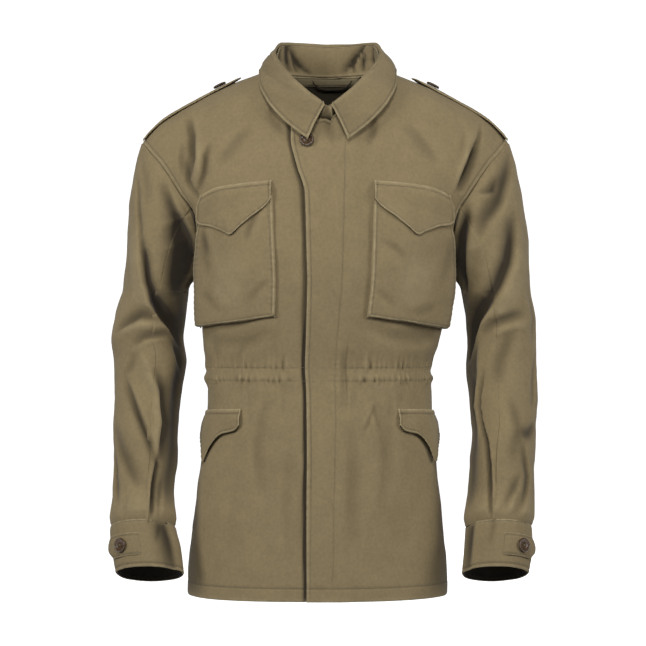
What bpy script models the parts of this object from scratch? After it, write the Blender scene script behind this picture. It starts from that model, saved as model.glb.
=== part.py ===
"""Olive field jacket, filled out as when worn, with no wearer in it.

Metres, +Z up. The front faces -Y, and +X is the wearer's left. The origin is the centre of the neck
opening, at the height where the shoulder seams meet the collar.
"""

import math

import bmesh
import bpy
import numpy as np
from mathutils import Vector

JACKET = "field_jacket"
SIDES = ((1, "l"), (-1, "r"))

# Cloth and seams
WALL = 0.0016
TRIM_WALL = 0.0014
SHOULDER_SEAM_HALF = 0.0006

# Heights on the body
HEM = -0.732
WAIST = -0.412
UNDERARM = -0.276
NECK_FRONT = -0.052
NECK_BACK = 0.010
NECK_HALF_WIDTH = 0.078
LEVEL_REACH = 0.100

# How square the body is from above, and how square the shoulders are from the side
FRONT_SQUARENESS = 2.5
BACK_SQUARENESS = 2.4
FRONT_LEAN = 2.0
BACK_LEAN = 2.3

# Body sections from the hem up to the underarm. The centre column leans the whole jacket.
BODY_COLUMNS = ("height", "centre", "half_width", "front", "back")
BODY_SECTIONS = (
    (-0.744, -0.0115, 0.1860, 0.124, 0.118),
    (-0.687, -0.0108, 0.1830, 0.122, 0.117),
    (-0.600, -0.0097, 0.1735, 0.119, 0.115),
    (-0.520, -0.0080, 0.1655, 0.115, 0.111),
    (-0.446, -0.0075, 0.1600, 0.109, 0.103),
    (-0.412, -0.0085, 0.1600, 0.107, 0.101),
    (-0.378, -0.0065, 0.1675, 0.112, 0.106),
    (-0.330, -0.0030, 0.1745, 0.120, 0.114),
    (-0.276, 0.0000, 0.1790, 0.125, 0.120),
    (-0.160, 0.0000, 0.1850, 0.126, 0.122),
    (0.050, 0.0030, 0.1850, 0.126, 0.122),
)

# The shoulder line from the neck outwards
SHOULDER_COLUMNS = ("reach", "height")
SHOULDER_LINE = (
    (0.000, 0.038),
    (0.080, 0.014),
    (0.144, -0.011),
    (0.190, -0.033),
    (0.212, -0.045),
    (0.229, -0.056),
    (0.242, -0.067),
    (0.253, -0.078),
    (0.262, -0.090),
)

# The armhole, by how far up it is from the underarm to the shoulder: how far out it is on the front and
# on the back, and how much of the body's depth is left there
ARMHOLE_COLUMNS = ("rise", "front_reach", "back_reach", "depth_left")
ARMHOLE = (
    (0.00, 0.1790, 0.1790, 0.00),
    (0.19, 0.1800, 0.1840, 0.42),
    (0.345, 0.1880, 0.1950, 0.56),
    (0.47, 0.2040, 0.2090, 0.60),
    (0.66, 0.2270, 0.2300, 0.60),
    (0.84, 0.2480, 0.2500, 0.54),
    (1.00, 0.2620, 0.2620, 0.50),
)


class Track:
    """Smooth values between the rows of a table, read at any place along its first column."""

    def __init__(self, columns, rows):
        self.places = [row[0] for row in rows]
        self.values = {name: [row[i] for row in rows] for i, name in enumerate(columns)}

    def __call__(self, name, place):
        places = self.places
        values = self.values[name]
        last = len(places) - 1
        place = min(max(place, places[0]), places[last])
        i = min(max(int(np.searchsorted(places, place)) - 1, 0), last - 1)
        step = places[i + 1] - places[i]
        t = (place - places[i]) / step
        slope = (values[i + 1] - values[i]) / step
        before = (values[i] - values[i - 1]) / (places[i] - places[i - 1]) if i else slope
        after = slope
        if i + 2 <= last:
            after = (values[i + 2] - values[i + 1]) / (places[i + 2] - places[i + 1])
        start = limited(before, slope) * step
        end = limited(slope, after) * step
        return (
            values[i] * (1 + 2 * t) * (1 - t) ** 2
            + start * t * (1 - t) ** 2
            + values[i + 1] * t * t * (3 - 2 * t)
            - end * t * t * (1 - t)
        )


def limited(first, second):
    """The mean of two slopes, kept small enough that a smooth curve through them has no bump."""
    if first * second <= 0:
        return 0.0
    return 2 * first * second / (first + second)


body = Track(BODY_COLUMNS, BODY_SECTIONS)
shoulder = Track(SHOULDER_COLUMNS, SHOULDER_LINE)
armhole = Track(ARMHOLE_COLUMNS, ARMHOLE)


def rise_at(reach, height):
    """How far up from the underarm to the shoulder line a place is, from 0 to 1."""
    return (height - UNDERARM) / (shoulder("height", abs(reach)) - UNDERARM)


def height_at(reach, rise):
    return UNDERARM + (shoulder("height", abs(reach)) - UNDERARM) * rise


def level_of(rise):
    """The height at which a whole row of the upper body reads its section."""
    return height_at(LEVEL_REACH, rise)


def section(face, height, rise):
    """Half width, depth and squareness of the body's section on one face, at a height or a rise."""
    front = face == "front"
    square = FRONT_SQUARENESS if front else BACK_SQUARENESS
    depth = body("front" if front else "back", height)
    if rise <= 0:
        return body("half_width", height), depth, square, 90.0
    lean = FRONT_LEAN if front else BACK_LEAN
    depth *= max(0.0, 1 - min(rise, 1.0) ** lean) ** (1 / lean)
    left = armhole("depth_left", rise)
    edge = math.acos(left ** (square / 2))
    reach = armhole("front_reach" if front else "back_reach", rise)
    return reach / math.sin(edge) ** (2 / square), depth, square, math.degrees(edge)


def skin(face, reach, height, folds=True):
    """A point on the body's outer skin, from its distance to the body's centre line and its height."""
    rise = rise_at(reach, height)
    half, depth, square, _ = section(face, height, rise)
    out = min(abs(reach) / half, 1.0)
    left = max(0.0, 1 - out**square) ** (1 / square)
    y = depth * left
    return Vector((reach + body("centre", height), -y if face == "front" else y, height))


# Largest folds of the cloth. Each row is face, x0, z0, x1, z1, depth and width: the reach and height of
# both its ends, how far it stands outwards, and how wide it is.
BODY_FOLDS = (
    ("front", -0.205, -0.060, -0.172, -0.125, -0.0050, 0.014),
    ("front", -0.180, -0.110, -0.176, -0.165, -0.0045, 0.012),
    ("front", 0.226, -0.075, 0.196, -0.150, -0.0050, 0.014),
    ("front", 0.203, -0.070, 0.190, -0.125, -0.0040, 0.012),
    ("front", 0.080, -0.455, 0.090, -0.505, -0.0030, 0.012),
    ("front", -0.150, -0.520, -0.165, -0.700, 0.0050, 0.026),
    ("front", -0.085, -0.500, -0.070, -0.725, -0.0035, 0.026),
    ("front", 0.120, -0.520, 0.125, -0.725, -0.0040, 0.026),
    ("front", 0.165, -0.545, 0.175, -0.720, 0.0040, 0.022),
    ("back", -0.200, -0.080, -0.150, -0.170, -0.0050, 0.016),
    ("back", 0.205, -0.080, 0.155, -0.175, -0.0050, 0.016),
    ("back", -0.120, -0.290, -0.060, -0.390, -0.0045, 0.018),
    ("back", 0.130, -0.280, 0.070, -0.385, -0.0045, 0.018),
    ("back", -0.100, -0.450, -0.115, -0.720, 0.0050, 0.028),
    ("back", 0.010, -0.460, 0.000, -0.725, -0.0040, 0.028),
    ("back", 0.105, -0.450, 0.125, -0.720, 0.0050, 0.028),
)

# Folds fade out before the side and shoulder lines, this far from them
FOLD_FADE = 0.045

FOLD_END_SHARE = 0.35

# Gathers where the waist cord pulls the cloth in
GATHERS_FRONT = 21
GATHERS_BACK = 33
GATHER_DEPTH = 0.0014
GATHER_BAND = 0.024
GATHER_START = 0.040


def fold_height(table, face, x, z):
    """How far the folds of a table push the cloth outwards at a place."""
    total = 0.0
    for where, x0, z0, x1, z1, depth, width in table:
        if where != face:
            continue
        run = (x1 - x0) ** 2 + (z1 - z0) ** 2
        along = ((x - x0) * (x1 - x0) + (z - z0) * (z1 - z0)) / run
        near = min(max(along, 0.0), 1.0)
        away = math.hypot(x - x0 - near * (x1 - x0), z - z0 - near * (z1 - z0))
        strength = FOLD_END_SHARE + (1 - FOLD_END_SHARE) * math.sin(math.pi * near)
        total += depth * math.exp(-((away / width) ** 2)) * strength
    return total


def ramp(low, high, value):
    """A smooth step from 0 at the first value to 1 at the second."""
    t = min(max((value - low) / (high - low), 0.0), 1.0)
    return t * t * (3 - 2 * t)


def side_name(side):
    return "left" if side > 0 else "right"


def face_of(angle):
    """The face of the body at an angle round it: 0 is the centre front, 90 the side, 180 the back."""
    return "front" if abs(angle) <= 90 else "back"


def around(angle, height, lift=0.0, rise=0.0):
    """A point round the body, lift metres outside its skin. Angles are positive on the wearer's left."""
    face = face_of(angle)
    half, depth, square, _ = section(face, height, rise)
    turn = math.radians(angle)
    reach = half * abs(math.sin(turn)) ** (2 / square) * math.copysign(1, angle)
    y = depth * abs(math.cos(turn)) ** (2 / square)
    steep_x = abs(math.sin(turn)) ** (2 - 2 / square) / half * math.copysign(1, angle)
    steep_y = abs(math.cos(turn)) ** (2 - 2 / square) / depth
    if face == "front":
        y, steep_y = -y, -steep_y
    out = Vector((steep_x, steep_y, 0)).normalized()
    return Vector((reach + body("centre", height), y, height)) + out * lift


def outward(face, reach, height, pitch=0.002):
    """The skin's normal, which points out of the body."""
    near = max(abs(reach) - pitch, 0.0) * math.copysign(1, reach)
    rise = rise_at(near, height)
    half = section(face, height, rise)[0]
    inner = min(abs(near), half - 2 * pitch) * math.copysign(1, reach)
    low = height - pitch if rise < 0.98 else height - 3 * pitch
    across = skin(face, inner + pitch, low) - skin(face, inner - pitch, low)
    along = skin(face, inner, low + pitch) - skin(face, inner, low - pitch)
    normal = across.cross(along).normalized()
    return normal if (normal.y < 0) == (face == "front") else -normal


def lifted(face, reach, height, lift):
    """A point that stands off the body's skin, for what lies on a panel."""
    return skin(face, reach, height) + outward(face, reach, height) * lift


# Building pieces

def material(name, colour, roughness):
    made = bpy.data.materials.new(name)
    made.use_nodes = True
    shader = made.node_tree.nodes["Principled BSDF"]
    shader.inputs["Base Color"].default_value = (*colour, 1)
    shader.inputs["Roughness"].default_value = roughness
    made.diffuse_color = (*colour, 1)
    return made


def add_object(name, data, finish):
    made = bpy.data.objects.new(name, data)
    bpy.data.collections[JACKET].objects.link(made)
    data.materials.append(finish)
    return made


def cloth(name, finish, columns, rows, place, inside, wall=WALL, fine=None):
    """A cloth wall from an even grid of columns and rows. place(a, b) puts each of its points, with a and
    b from 0 to 1. fine is (lowest row, highest row, cuts): rows whose columns are cut finer. inside is a
    point on the hollow side, and the wall grows towards it.
    """
    bm = bmesh.new()
    bmesh.ops.create_grid(bm, x_segments=columns, y_segments=rows, size=0.5)
    if fine:
        low, high, cuts = fine
        flat = [
            edge
            for edge in bm.edges
            if abs(edge.verts[0].co.y - edge.verts[1].co.y) < 1e-6
            and low <= round((edge.verts[0].co.y + 0.5) * rows) <= high
        ]
        bmesh.ops.subdivide_edges(bm, edges=flat, cuts=cuts)
    for vertex in bm.verts:
        vertex.co = place(vertex.co.x + 0.5, vertex.co.y + 0.5)
    bm.normal_update()
    facing = sum((face.calc_center_median() - inside).dot(face.normal) for face in bm.faces)
    if facing < 0:
        bmesh.ops.reverse_faces(bm, faces=bm.faces[:])
    mesh = bpy.data.meshes.new(name)
    bm.to_mesh(mesh)
    bm.free()
    mesh.shade_smooth()
    made = add_object(name, mesh, finish)
    solid = made.modifiers.new("Wall", "SOLIDIFY")
    solid.thickness = wall
    solid.offset = -1
    solid.use_even_offset = True
    solid.use_quality_normals = True
    return made


# Body panels

PANEL_LOW_ROWS = (
    HEM, -0.700, -0.650, -0.600, -0.550, -0.500, -0.455,
    WAIST - 0.018, WAIST - 0.007, WAIST + 0.007, WAIST + 0.018,
    -0.370, -0.340, -0.306, UNDERARM,
)
PANEL_RISES = (0.11, 0.23, 0.36, 0.50, 0.64, 0.78, 0.89, 0.96, 1.0)
LOW_COUNT = len(PANEL_LOW_ROWS) - 1
PANEL_ROWS = LOW_COUNT + len(PANEL_RISES)
FRONT_COLUMNS = 14
BACK_COLUMNS = 22
GATHER_ROWS = (7, 10, 2)

# Half the gap at the side seam and at the armhole, in degrees round the body
SIDE_SEAM_HALF = 0.115
ARMHOLE_SEAM_HALF = 0.086
LAST_ROW = 0.999

# The side seam drifts from the underarm towards the back, in degrees round the body
SEAM_COLUMNS = ("height", "angle")
SIDE_SEAM = ((HEM, 104.0), (-0.450, 103.0), (-0.330, 96.0), (UNDERARM, 90.0))

# The free edge of the wearer's left front, past the centre line, and of the right front below it
EDGE_COLUMNS = ("height", "over", "under")
FRONT_EDGE = (
    (HEM, -0.014, -0.020),
    (-0.420, -0.019, -0.020),
    (-0.260, -0.025, -0.021),
    (-0.166, -0.028, -0.022),
    (-0.125, -0.039, -0.022),
    (-0.078, -0.048, -0.022),
    (0.000, -0.048, -0.022),
)
OVERLAP_LIFT = 0.0034
OVERLAP_FULL = 0.031
OVERLAP_END = 0.064
NECK_EDGE_SLOPE = 0.50
NECK_EDGE_MIDDLE = -0.035

side_seam = Track(SEAM_COLUMNS, SIDE_SEAM)
front_edge = Track(EDGE_COLUMNS, FRONT_EDGE)


def neck_height(face, reach):
    """The neck seam's height. Past the centre front the seam runs on, down to the overlap's corner."""
    if face == "front" and reach < 0:
        return NECK_FRONT + NECK_EDGE_SLOPE * reach
    out = min(abs(reach) / NECK_HALF_WIDTH, 1.0)
    lowest = NECK_FRONT if face == "front" else NECK_BACK
    top = shoulder("height", NECK_HALF_WIDTH)
    return lowest + (top - lowest) * (1 - math.sqrt(1 - out * out))


def top_rise(face, reach):
    """How far up the panel reaches: to the neck seam near the neck, and to the shoulder seam outside it."""
    if abs(reach) >= NECK_HALF_WIDTH:
        return 1.0
    return rise_at(reach, neck_height(face, reach))


def row_place(b):
    """The height and rise of a panel's row, from the share of rows below it."""
    row = b * PANEL_ROWS
    if row <= LOW_COUNT:
        i = min(int(row + 1e-6), LOW_COUNT - 1)
        part = row - i
        return PANEL_LOW_ROWS[i] * (1 - part) + PANEL_LOW_ROWS[i + 1] * part, 0.0
    rises = (0.0, *PANEL_RISES)
    i = min(int(row - LOW_COUNT + 1e-6), len(rises) - 2)
    part = row - LOW_COUNT - i
    return UNDERARM, rises[i] * (1 - part) + rises[i + 1] * part


def gather_height(a, count, reach, height):
    """The small waves along the waist cord. They start beside the front edges and run all round."""
    off = abs(height - WAIST) / GATHER_BAND
    if off >= 1:
        return 0.0
    start = ramp(GATHER_START - 0.010, GATHER_START + 0.010, abs(reach))
    return -GATHER_DEPTH * start * (1 - off * off) * math.cos(2 * math.pi * count * a)


def panel_point(face, side, first, last, a, height, rise):
    """A point of a panel between the angles first and last, as a share a of the way between them."""
    angle = first + (last - first) * a
    if rise <= 0:
        point = around(angle * side, height)
        out = (around(angle * side, height, 0.001) - point).normalized()
        reach = point.x - body("centre", height)
    else:
        half, _, square, _ = section(face, level_of(rise), rise)
        turn = math.radians(angle if face == "front" else 180 - angle)
        own = half * abs(math.sin(turn)) ** (2 / square) * math.copysign(1, turn)
        rise *= top_rise(face, own)
        reach = own * side
        height = height_at(reach, rise)
        point = skin(face, reach, height)
        out = outward(face, reach, height)
    fold = fold_height(BODY_FOLDS, face_of(angle) if rise <= 0 else face, reach, height)
    return point, out, fold * ramp(0.0, FOLD_FADE, abs(point.y)), reach, height


def reach_angle(face, reach, height, rise):
    """The angle round the body of a place that is reach from the centre line."""
    half, _, square, _ = section(face, height, rise)
    turn = math.asin(min(abs(reach) / half, 1.0) ** (square / 2))
    return math.degrees(turn) * math.copysign(1, reach)


def front_place(side, edge, lift_edge):
    def place(a, b):
        height, rise = row_place(b)
        edge_height = height
        level = height
        last = side_seam("angle", height) - SIDE_SEAM_HALF
        if rise > 0:
            edge_height = height_at(0, rise * top_rise("front", NECK_EDGE_MIDDLE))
            level = level_of(rise)
            last = section("front", level, rise)[3] - ARMHOLE_SEAM_HALF
        first = reach_angle("front", front_edge(edge, edge_height), level, rise)
        point, out, lift, reach, height = panel_point("front", side, first, last, a, height, rise)
        lift += lift_edge * (1 - ramp(OVERLAP_FULL, OVERLAP_END, reach * side))
        lift += gather_height(a, GATHERS_FRONT, reach, height)
        point = point + out * lift
        point.y -= SHOULDER_SEAM_HALF * (b > LAST_ROW)
        return point

    return place


def back_place(a, b):
    height, rise = row_place(b)
    last = side_seam("angle", height) + SIDE_SEAM_HALF
    if rise > 0:
        last = 180 - section("back", level_of(rise), rise)[3] + ARMHOLE_SEAM_HALF
    across = 1 - 2 * a
    side = -1 if across > 0 else 1
    share = 1 - abs(across)
    point, out, lift, reach, height = panel_point("back", side, last, 180, share, height, rise)
    lift += gather_height(a, GATHERS_BACK, 1.0, height)
    point = point + out * lift
    point.y += SHOULDER_SEAM_HALF * (b > LAST_ROW)
    return point


INSIDE_BODY = Vector((0, 0, -0.35))


def add_body(finish):
    for name, columns, place in (
        ("front_left", FRONT_COLUMNS, front_place(1, "over", OVERLAP_LIFT)),
        ("front_right", FRONT_COLUMNS, front_place(-1, "under", 0.0)),
        ("back", BACK_COLUMNS, back_place),
    ):
        cloth(name, finish, columns, PANEL_ROWS, place, INSIDE_BODY, fine=GATHER_ROWS)


# Sleeves

SLEEVE_COLUMNS = (
    "height", "right_centre", "left_centre", "right_half", "left_half", "forward", "half_depth", "tilt",
)
SLEEVE_SECTIONS = (
    (-0.697, 0.2440, 0.2360, 0.0475, 0.0465, 0.088, 0.0450, 20.0),
    (-0.662, 0.2500, 0.2415, 0.0485, 0.0480, 0.077, 0.0465, 20.0),
    (-0.634, 0.2550, 0.2430, 0.0460, 0.0465, 0.067, 0.0475, 20.0),
    (-0.590, 0.2560, 0.2475, 0.0430, 0.0475, 0.053, 0.0510, 20.0),
    (-0.540, 0.2530, 0.2500, 0.0450, 0.0470, 0.037, 0.0540, 19.0),
    (-0.497, 0.2540, 0.2540, 0.0460, 0.0465, 0.023, 0.0560, 17.0),
    (-0.452, 0.2520, 0.2540, 0.0475, 0.0500, 0.010, 0.0580, 14.0),
    (-0.406, 0.2490, 0.2510, 0.0515, 0.0505, 0.001, 0.0610, 8.0),
    (-0.372, 0.2535, 0.2520, 0.0525, 0.0490, -0.003, 0.0640, 4.0),
    (-0.340, 0.2490, 0.2505, 0.0515, 0.0500, -0.004, 0.0670, 1.0),
    (-0.303, 0.2420, 0.2450, 0.0470, 0.0500, -0.003, 0.0690, 0.0),
)
SLEEVE_TOP = -0.303
SLEEVE_END = -0.634
CUFF_END = -0.697
CAP_SHARES = (0.0, 0.15, 0.32, 0.50, 0.68, 0.85)
SLEEVE_HEIGHTS = (
    SLEEVE_TOP, -0.330, -0.356, -0.380, -0.405, -0.432, -0.460, -0.490, -0.520,
    -0.550, -0.577, -0.600, -0.620, SLEEVE_END,
)
SLEEVE_ROWS = len(CAP_SHARES) + len(SLEEVE_HEIGHTS) - 1
UNDER_SPAN = 3
SLEEVE_MIDDLE = (0.247, 0.0, -0.36)
ARMHOLE_STEPS = len(PANEL_RISES)
SLEEVE_SEAM = 0.0006
# Half the gap between the two sleeve pieces, as a share of one step round the armhole
PIECE_SHIFT = 0.028
CUFF_GAP = 0.0004

# Sleeve folds. Each row is side, turn0, z0, turn1, z1, depth and width: where round the sleeve (0 outer,
# 90 front, 180 inner) and how high each end is, how far the fold stands outwards, and how wide it is.
SLEEVE_FOLDS = (
    ("right", 62.0, -0.120, 112.0, -0.250, -0.0070, 0.016),
    ("right", 20.0, -0.150, 30.0, -0.250, -0.0030, 0.014),
    ("right", 60.0, -0.378, 130.0, -0.366, -0.0045, 0.012),
    ("right", 58.0, -0.470, 82.0, -0.565, -0.0050, 0.013),
    ("right", 118.0, -0.470, 90.0, -0.565, -0.0050, 0.013),
    ("right", 85.0, -0.560, 80.0, -0.632, -0.0050, 0.010),
    ("right", 150.0, -0.400, 155.0, -0.600, -0.0050, 0.018),
    ("right", 260.0, -0.360, 310.0, -0.400, -0.0050, 0.014),
    ("right", 240.0, -0.180, 290.0, -0.260, -0.0060, 0.018),
    ("left", 70.0, -0.165, 108.0, -0.235, -0.0060, 0.014),
    ("left", 40.0, -0.200, 62.0, -0.262, -0.0050, 0.013),
    ("left", 80.0, -0.130, 96.0, -0.150, -0.0040, 0.010),
    ("left", 112.0, -0.455, 100.0, -0.530, -0.0050, 0.011),
    ("left", 98.0, -0.530, 76.0, -0.632, -0.0050, 0.010),
    ("left", 20.0, -0.505, 26.0, -0.535, -0.0050, 0.016),
    ("left", 30.0, -0.560, 34.0, -0.600, -0.0040, 0.012),
    ("left", 118.0, -0.400, 128.0, -0.480, 0.0040, 0.014),
    ("left", 255.0, -0.360, 305.0, -0.405, -0.0050, 0.014),
    ("left", 240.0, -0.180, 290.0, -0.260, -0.0060, 0.018),
)
SLEEVE_RADIUS = 0.050

# Pleats at the cuff seam: where round the sleeve
PLEAT_TURNS = {"right": (28.0, 82.0, 250.0, 300.0), "left": (24.0, 78.0, 250.0, 300.0)}
PLEAT_DEPTH = 0.0045
PLEAT_WIDTH = 11.0
PLEAT_LENGTH = 0.080
CUFF_PUFF = 0.0025
PUFF_RISE = 0.013

# How the cap leaves the armhole: sideways everywhere, at the front and back, and at the top, then
# forwards and down, and how straight it runs into the sleeve
CAP_OUT = (0.18, 0.42, 0.16)
CAP_FORWARD = 0.30
CAP_DOWN = 0.95
CAP_ARRIVE = 0.90
CAP_FOLD_START = 0.25
CAP_FINE_ROWS = (0, 4, 1)
CUFF_CELLS = (28, 3)

sleeve = Track(SLEEVE_COLUMNS, sorted(SLEEVE_SECTIONS))


def armhole_loop(side):
    """The armhole's points, from the underarm up the front to the shoulder and down the back."""
    rises = (0.0, *PANEL_RISES)
    points = []
    for face, order in (("front", rises), ("back", rises[-2:0:-1])):
        for rise in order:
            reach = armhole("front_reach" if face == "front" else "back_reach", rise) * side
            points.append(skin(face, reach, height_at(reach, rise)))
    return points


def loop_turns(points):
    """The angle round the sleeve of each armhole point, from its share of the loop: 180 is the underarm."""
    lengths = [0.0]
    for i, point in enumerate(points):
        lengths.append(lengths[-1] + (points[(i + 1) % len(points)] - point).length)
    top = lengths[ARMHOLE_STEPS]
    whole = lengths[-1]
    turns = []
    for length in lengths[:-1]:
        if length <= top:
            turns.append(180 * (1 - length / top))
        else:
            turns.append(-180 * (length - top) / (whole - top))
    return turns


def between(values, place):
    """A value between the entries of a closed loop, at a place counted in entries."""
    count = len(values)
    i = math.floor(place + 1e-9)
    part = place - i
    return values[i % count] * (1 - part) + values[(i + 1) % count] * part


def ring_point(side, turn, height, lift=0.0):
    """A point of the sleeve's own section at a height of its axis."""
    name = side_name(side)
    angle = math.radians(turn)
    tilt = math.radians(sleeve("tilt", height))
    out = (sleeve(name + "_half", height) + lift) * math.cos(angle)
    fore = (sleeve("half_depth", height) + lift) * math.sin(angle)
    x = side * (sleeve(name + "_centre", height) + out)
    y = -sleeve("forward", height) - fore * math.cos(tilt)
    return Vector((x, y, height + fore * math.sin(tilt)))


def sleeve_fold(side, turn, height):
    """How far the folds and the pleats of a sleeve push its cloth outwards."""
    name = side_name(side)
    total = 0.0
    for where, turn0, z0, turn1, z1, depth, width in SLEEVE_FOLDS:
        if where != name:
            continue
        bend = math.radians((turn - turn0 + 180) % 360 - 180) * SLEEVE_RADIUS
        run_x = math.radians(turn1 - turn0) * SLEEVE_RADIUS
        run_z = z1 - z0
        along = (bend * run_x + (height - z0) * run_z) / (run_x**2 + run_z**2)
        near = min(max(along, 0.0), 1.0)
        away = math.hypot(bend - near * run_x, height - z0 - near * run_z)
        strength = FOLD_END_SHARE + (1 - FOLD_END_SHARE) * math.sin(math.pi * near)
        total += depth * math.exp(-((away / width) ** 2)) * strength
    above = height - SLEEVE_END
    if above < PLEAT_LENGTH:
        fade = (1 - above / PLEAT_LENGTH) * ramp(0.0, PUFF_RISE, above)
        for pleat in PLEAT_TURNS[name]:
            off = abs((turn - pleat + 180) % 360 - 180) / PLEAT_WIDTH
            total -= PLEAT_DEPTH * fade * math.exp(-off * off)
        total += CUFF_PUFF * ramp(0.0, PUFF_RISE, above) * (1 - ramp(PUFF_RISE, PLEAT_LENGTH, above))
    return total


def sleeve_place(side, first, last):
    """The sleeve between two places of the armhole loop, from the cuff seam (b 0) up to the armhole."""
    loop = armhole_loop(side)
    turns = loop_turns(loop)
    count = len(loop)
    turns = [turn + 360 if i > ARMHOLE_STEPS else turn for i, turn in enumerate(turns)]

    def turn_at(place):
        i = math.floor(place + 1e-9)
        part = place - i
        low = turns[i % count] - 360 * (i // count) + (0 if i % count <= ARMHOLE_STEPS else -360)
        j = i + 1
        high = turns[j % count] - 360 * (j // count) + (0 if j % count <= ARMHOLE_STEPS else -360)
        return low * (1 - part) + high * part

    def place(a, b):
        at = first + PIECE_SHIFT + (last - first - 2 * PIECE_SHIFT) * a
        turn = turn_at(at)
        row = (1 - b) * SLEEVE_ROWS
        if row >= len(CAP_SHARES) - 1e-6:
            i = min(max(int(row - len(CAP_SHARES) + 1e-6), 0), len(SLEEVE_HEIGHTS) - 2)
            part = row - len(CAP_SHARES) - i
            height = SLEEVE_HEIGHTS[i] * (1 - part) + SLEEVE_HEIGHTS[i + 1] * part
            return ring_point(side, turn, height, sleeve_fold(side, turn, height))
        shares = (*CAP_SHARES, 1.0)
        i = min(int(row + 1e-6), len(CAP_SHARES) - 1)
        share = shares[i] + (shares[i + 1] - shares[i]) * (row - i)
        return cap_point(side, between(loop, at), turn, share)

    return place


def cap_point(side, start, turn, share):
    """A point between the armhole and the sleeve's first full section."""
    angle = math.radians(turn)
    end = ring_point(side, turn, SLEEVE_TOP)
    span = (end - start).length
    outer = 0.5 + 0.5 * math.cos(angle)
    fore = math.sin(angle)
    sideways = CAP_OUT[0] + CAP_OUT[1] * fore**2 + CAP_OUT[2] * outer
    leave = Vector((side * sideways, -CAP_FORWARD * fore, -CAP_DOWN)).normalized() * span
    arrive = Vector((0, 0, -span * CAP_ARRIVE))
    t = share
    point = (
        start * ((1 + 2 * t) * (1 - t) ** 2)
        + leave * (t * (1 - t) ** 2)
        + end * (t * t * (3 - 2 * t))
        - arrive * (t * t * (1 - t))
    )
    out = Vector((side * math.cos(angle), -math.sin(angle), 0))
    lift = sleeve_fold(side, turn, point.z) * ramp(0.0, CAP_FOLD_START, share)
    return point + out * lift + Vector((side * SLEEVE_SEAM, 0, 0))


def cuff_place(side):
    def place(a, b):
        height = CUFF_END + (SLEEVE_END - CUFF_END) * b
        point = ring_point(side, 360 * a, height)
        tilt = math.radians(sleeve("tilt", height))
        down = Vector((0, -math.sin(tilt), -math.cos(tilt)))
        return point + down * CUFF_GAP * (b > LAST_ROW)

    return place


def ring_cloth(name, finish, columns, rows, place):
    """A closed tube of cloth: like cloth(), with its first and last columns joined."""
    middle = (place(0.25, 0.5) + place(0.75, 0.5)) / 2
    made = cloth(name, finish, columns, rows, place, middle)
    bm = bmesh.new()
    bm.from_mesh(made.data)
    bmesh.ops.remove_doubles(bm, verts=bm.verts[:], dist=1e-5)
    bm.to_mesh(made.data)
    bm.free()
    return made


def add_sleeves(finish):
    count = 2 * ARMHOLE_STEPS
    for side, letter in SIDES:
        middle = Vector((side * SLEEVE_MIDDLE[0], *SLEEVE_MIDDLE[1:]))
        for name, first, last in (
            ("sleeve_upper_", UNDER_SPAN, count - UNDER_SPAN),
            ("sleeve_under_", -UNDER_SPAN, UNDER_SPAN),
        ):
            place = sleeve_place(side, first, last)
            cloth(name + letter, finish, last - first, SLEEVE_ROWS, place, middle, fine=CAP_FINE_ROWS)
        ring_cloth("cuff_" + letter, finish, *CUFF_CELLS, cuff_place(side))


# Pockets and flaps. Across is 0 at the edge nearer the front opening and 1 at the outer edge.

BAG_COLUMNS = ("across", "top", "bottom")
CHEST_BAG = ((0.0, -0.171, -0.337), (0.45, -0.175, -0.344), (1.0, -0.190, -0.352))
# Each chest pocket's inner edge: how far out it is at the bottom and at the top
BAG_INNER = {"left": (0.0630, 0.0690), "right": (0.0665, 0.0745)}
BAG_OUTER_COLUMNS = ("height", "reach")
BAG_OUTER = (
    (-0.365, 0.1665),
    (-0.330, 0.1705),
    (-0.276, 0.1740),
    (-0.230, 0.1735),
    (-0.180, 0.1700),
    (-0.150, 0.1690),
)
BAG_STAND_INNER = 0.0040
BAG_STAND_OUTER = 0.0120
BAG_STAND_BOTTOM = 0.0030
BAG_STAND_BEND = 1.3
BAG_CLOSE = 0.7
BAG_CLOSE_START = 0.75
BAG_GUSSET_LIFT = 0.0024
BAG_CELLS = (10, 10)
BAG_FLARE_ACROSS = 0.025
BAG_FLARE_UP = 0.015
BAG_TOP_STAND = 0.0030

CHEST_FLAP_TOP = ((0.0, -0.151), (0.40, -0.154), (0.75, -0.159), (1.0, -0.170))
CHEST_FLAP_DROP = (
    (0.0, 0.0260), (0.07, 0.0350), (0.25, 0.0430), (0.42, 0.0590), (0.53, 0.0700),
    (0.62, 0.0630), (0.78, 0.0480), (0.94, 0.0400), (1.0, 0.0330),
)
HIP_FLAP_TOP = ((0.0, -0.467), (0.45, -0.469), (1.0, -0.474))
HIP_FLAP_DROP = (
    (0.0, 0.0220), (0.06, 0.0300), (0.22, 0.0350), (0.38, 0.0520), (0.50, 0.0740),
    (0.62, 0.0520), (0.78, 0.0350), (0.94, 0.0300), (1.0, 0.0220),
)
FLAP_COLUMNS = ("across", "height")
FLAP_CELLS = (16, 4)
CHEST_FLAP_INNER = {"left": 0.0680, "right": 0.0740}
CHEST_FLAP_OUTER = 0.1740
CHEST_FLAP_CLEAR = 0.0026
CHEST_FLAP_ROOT = 0.0030
CHEST_FLAP_STEP = 0.014
CHEST_FLAP_HIGHEST = 0.92
HIP_FLAP_INNER = 0.1090
HIP_FLAP_END = 101.0
HIP_FLAP_STAND = 0.0042
HIP_FLAP_ROOT = 0.0024
HIP_FLAP_BEND = 0.6

bag_outer = Track(BAG_OUTER_COLUMNS, BAG_OUTER)


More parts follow.
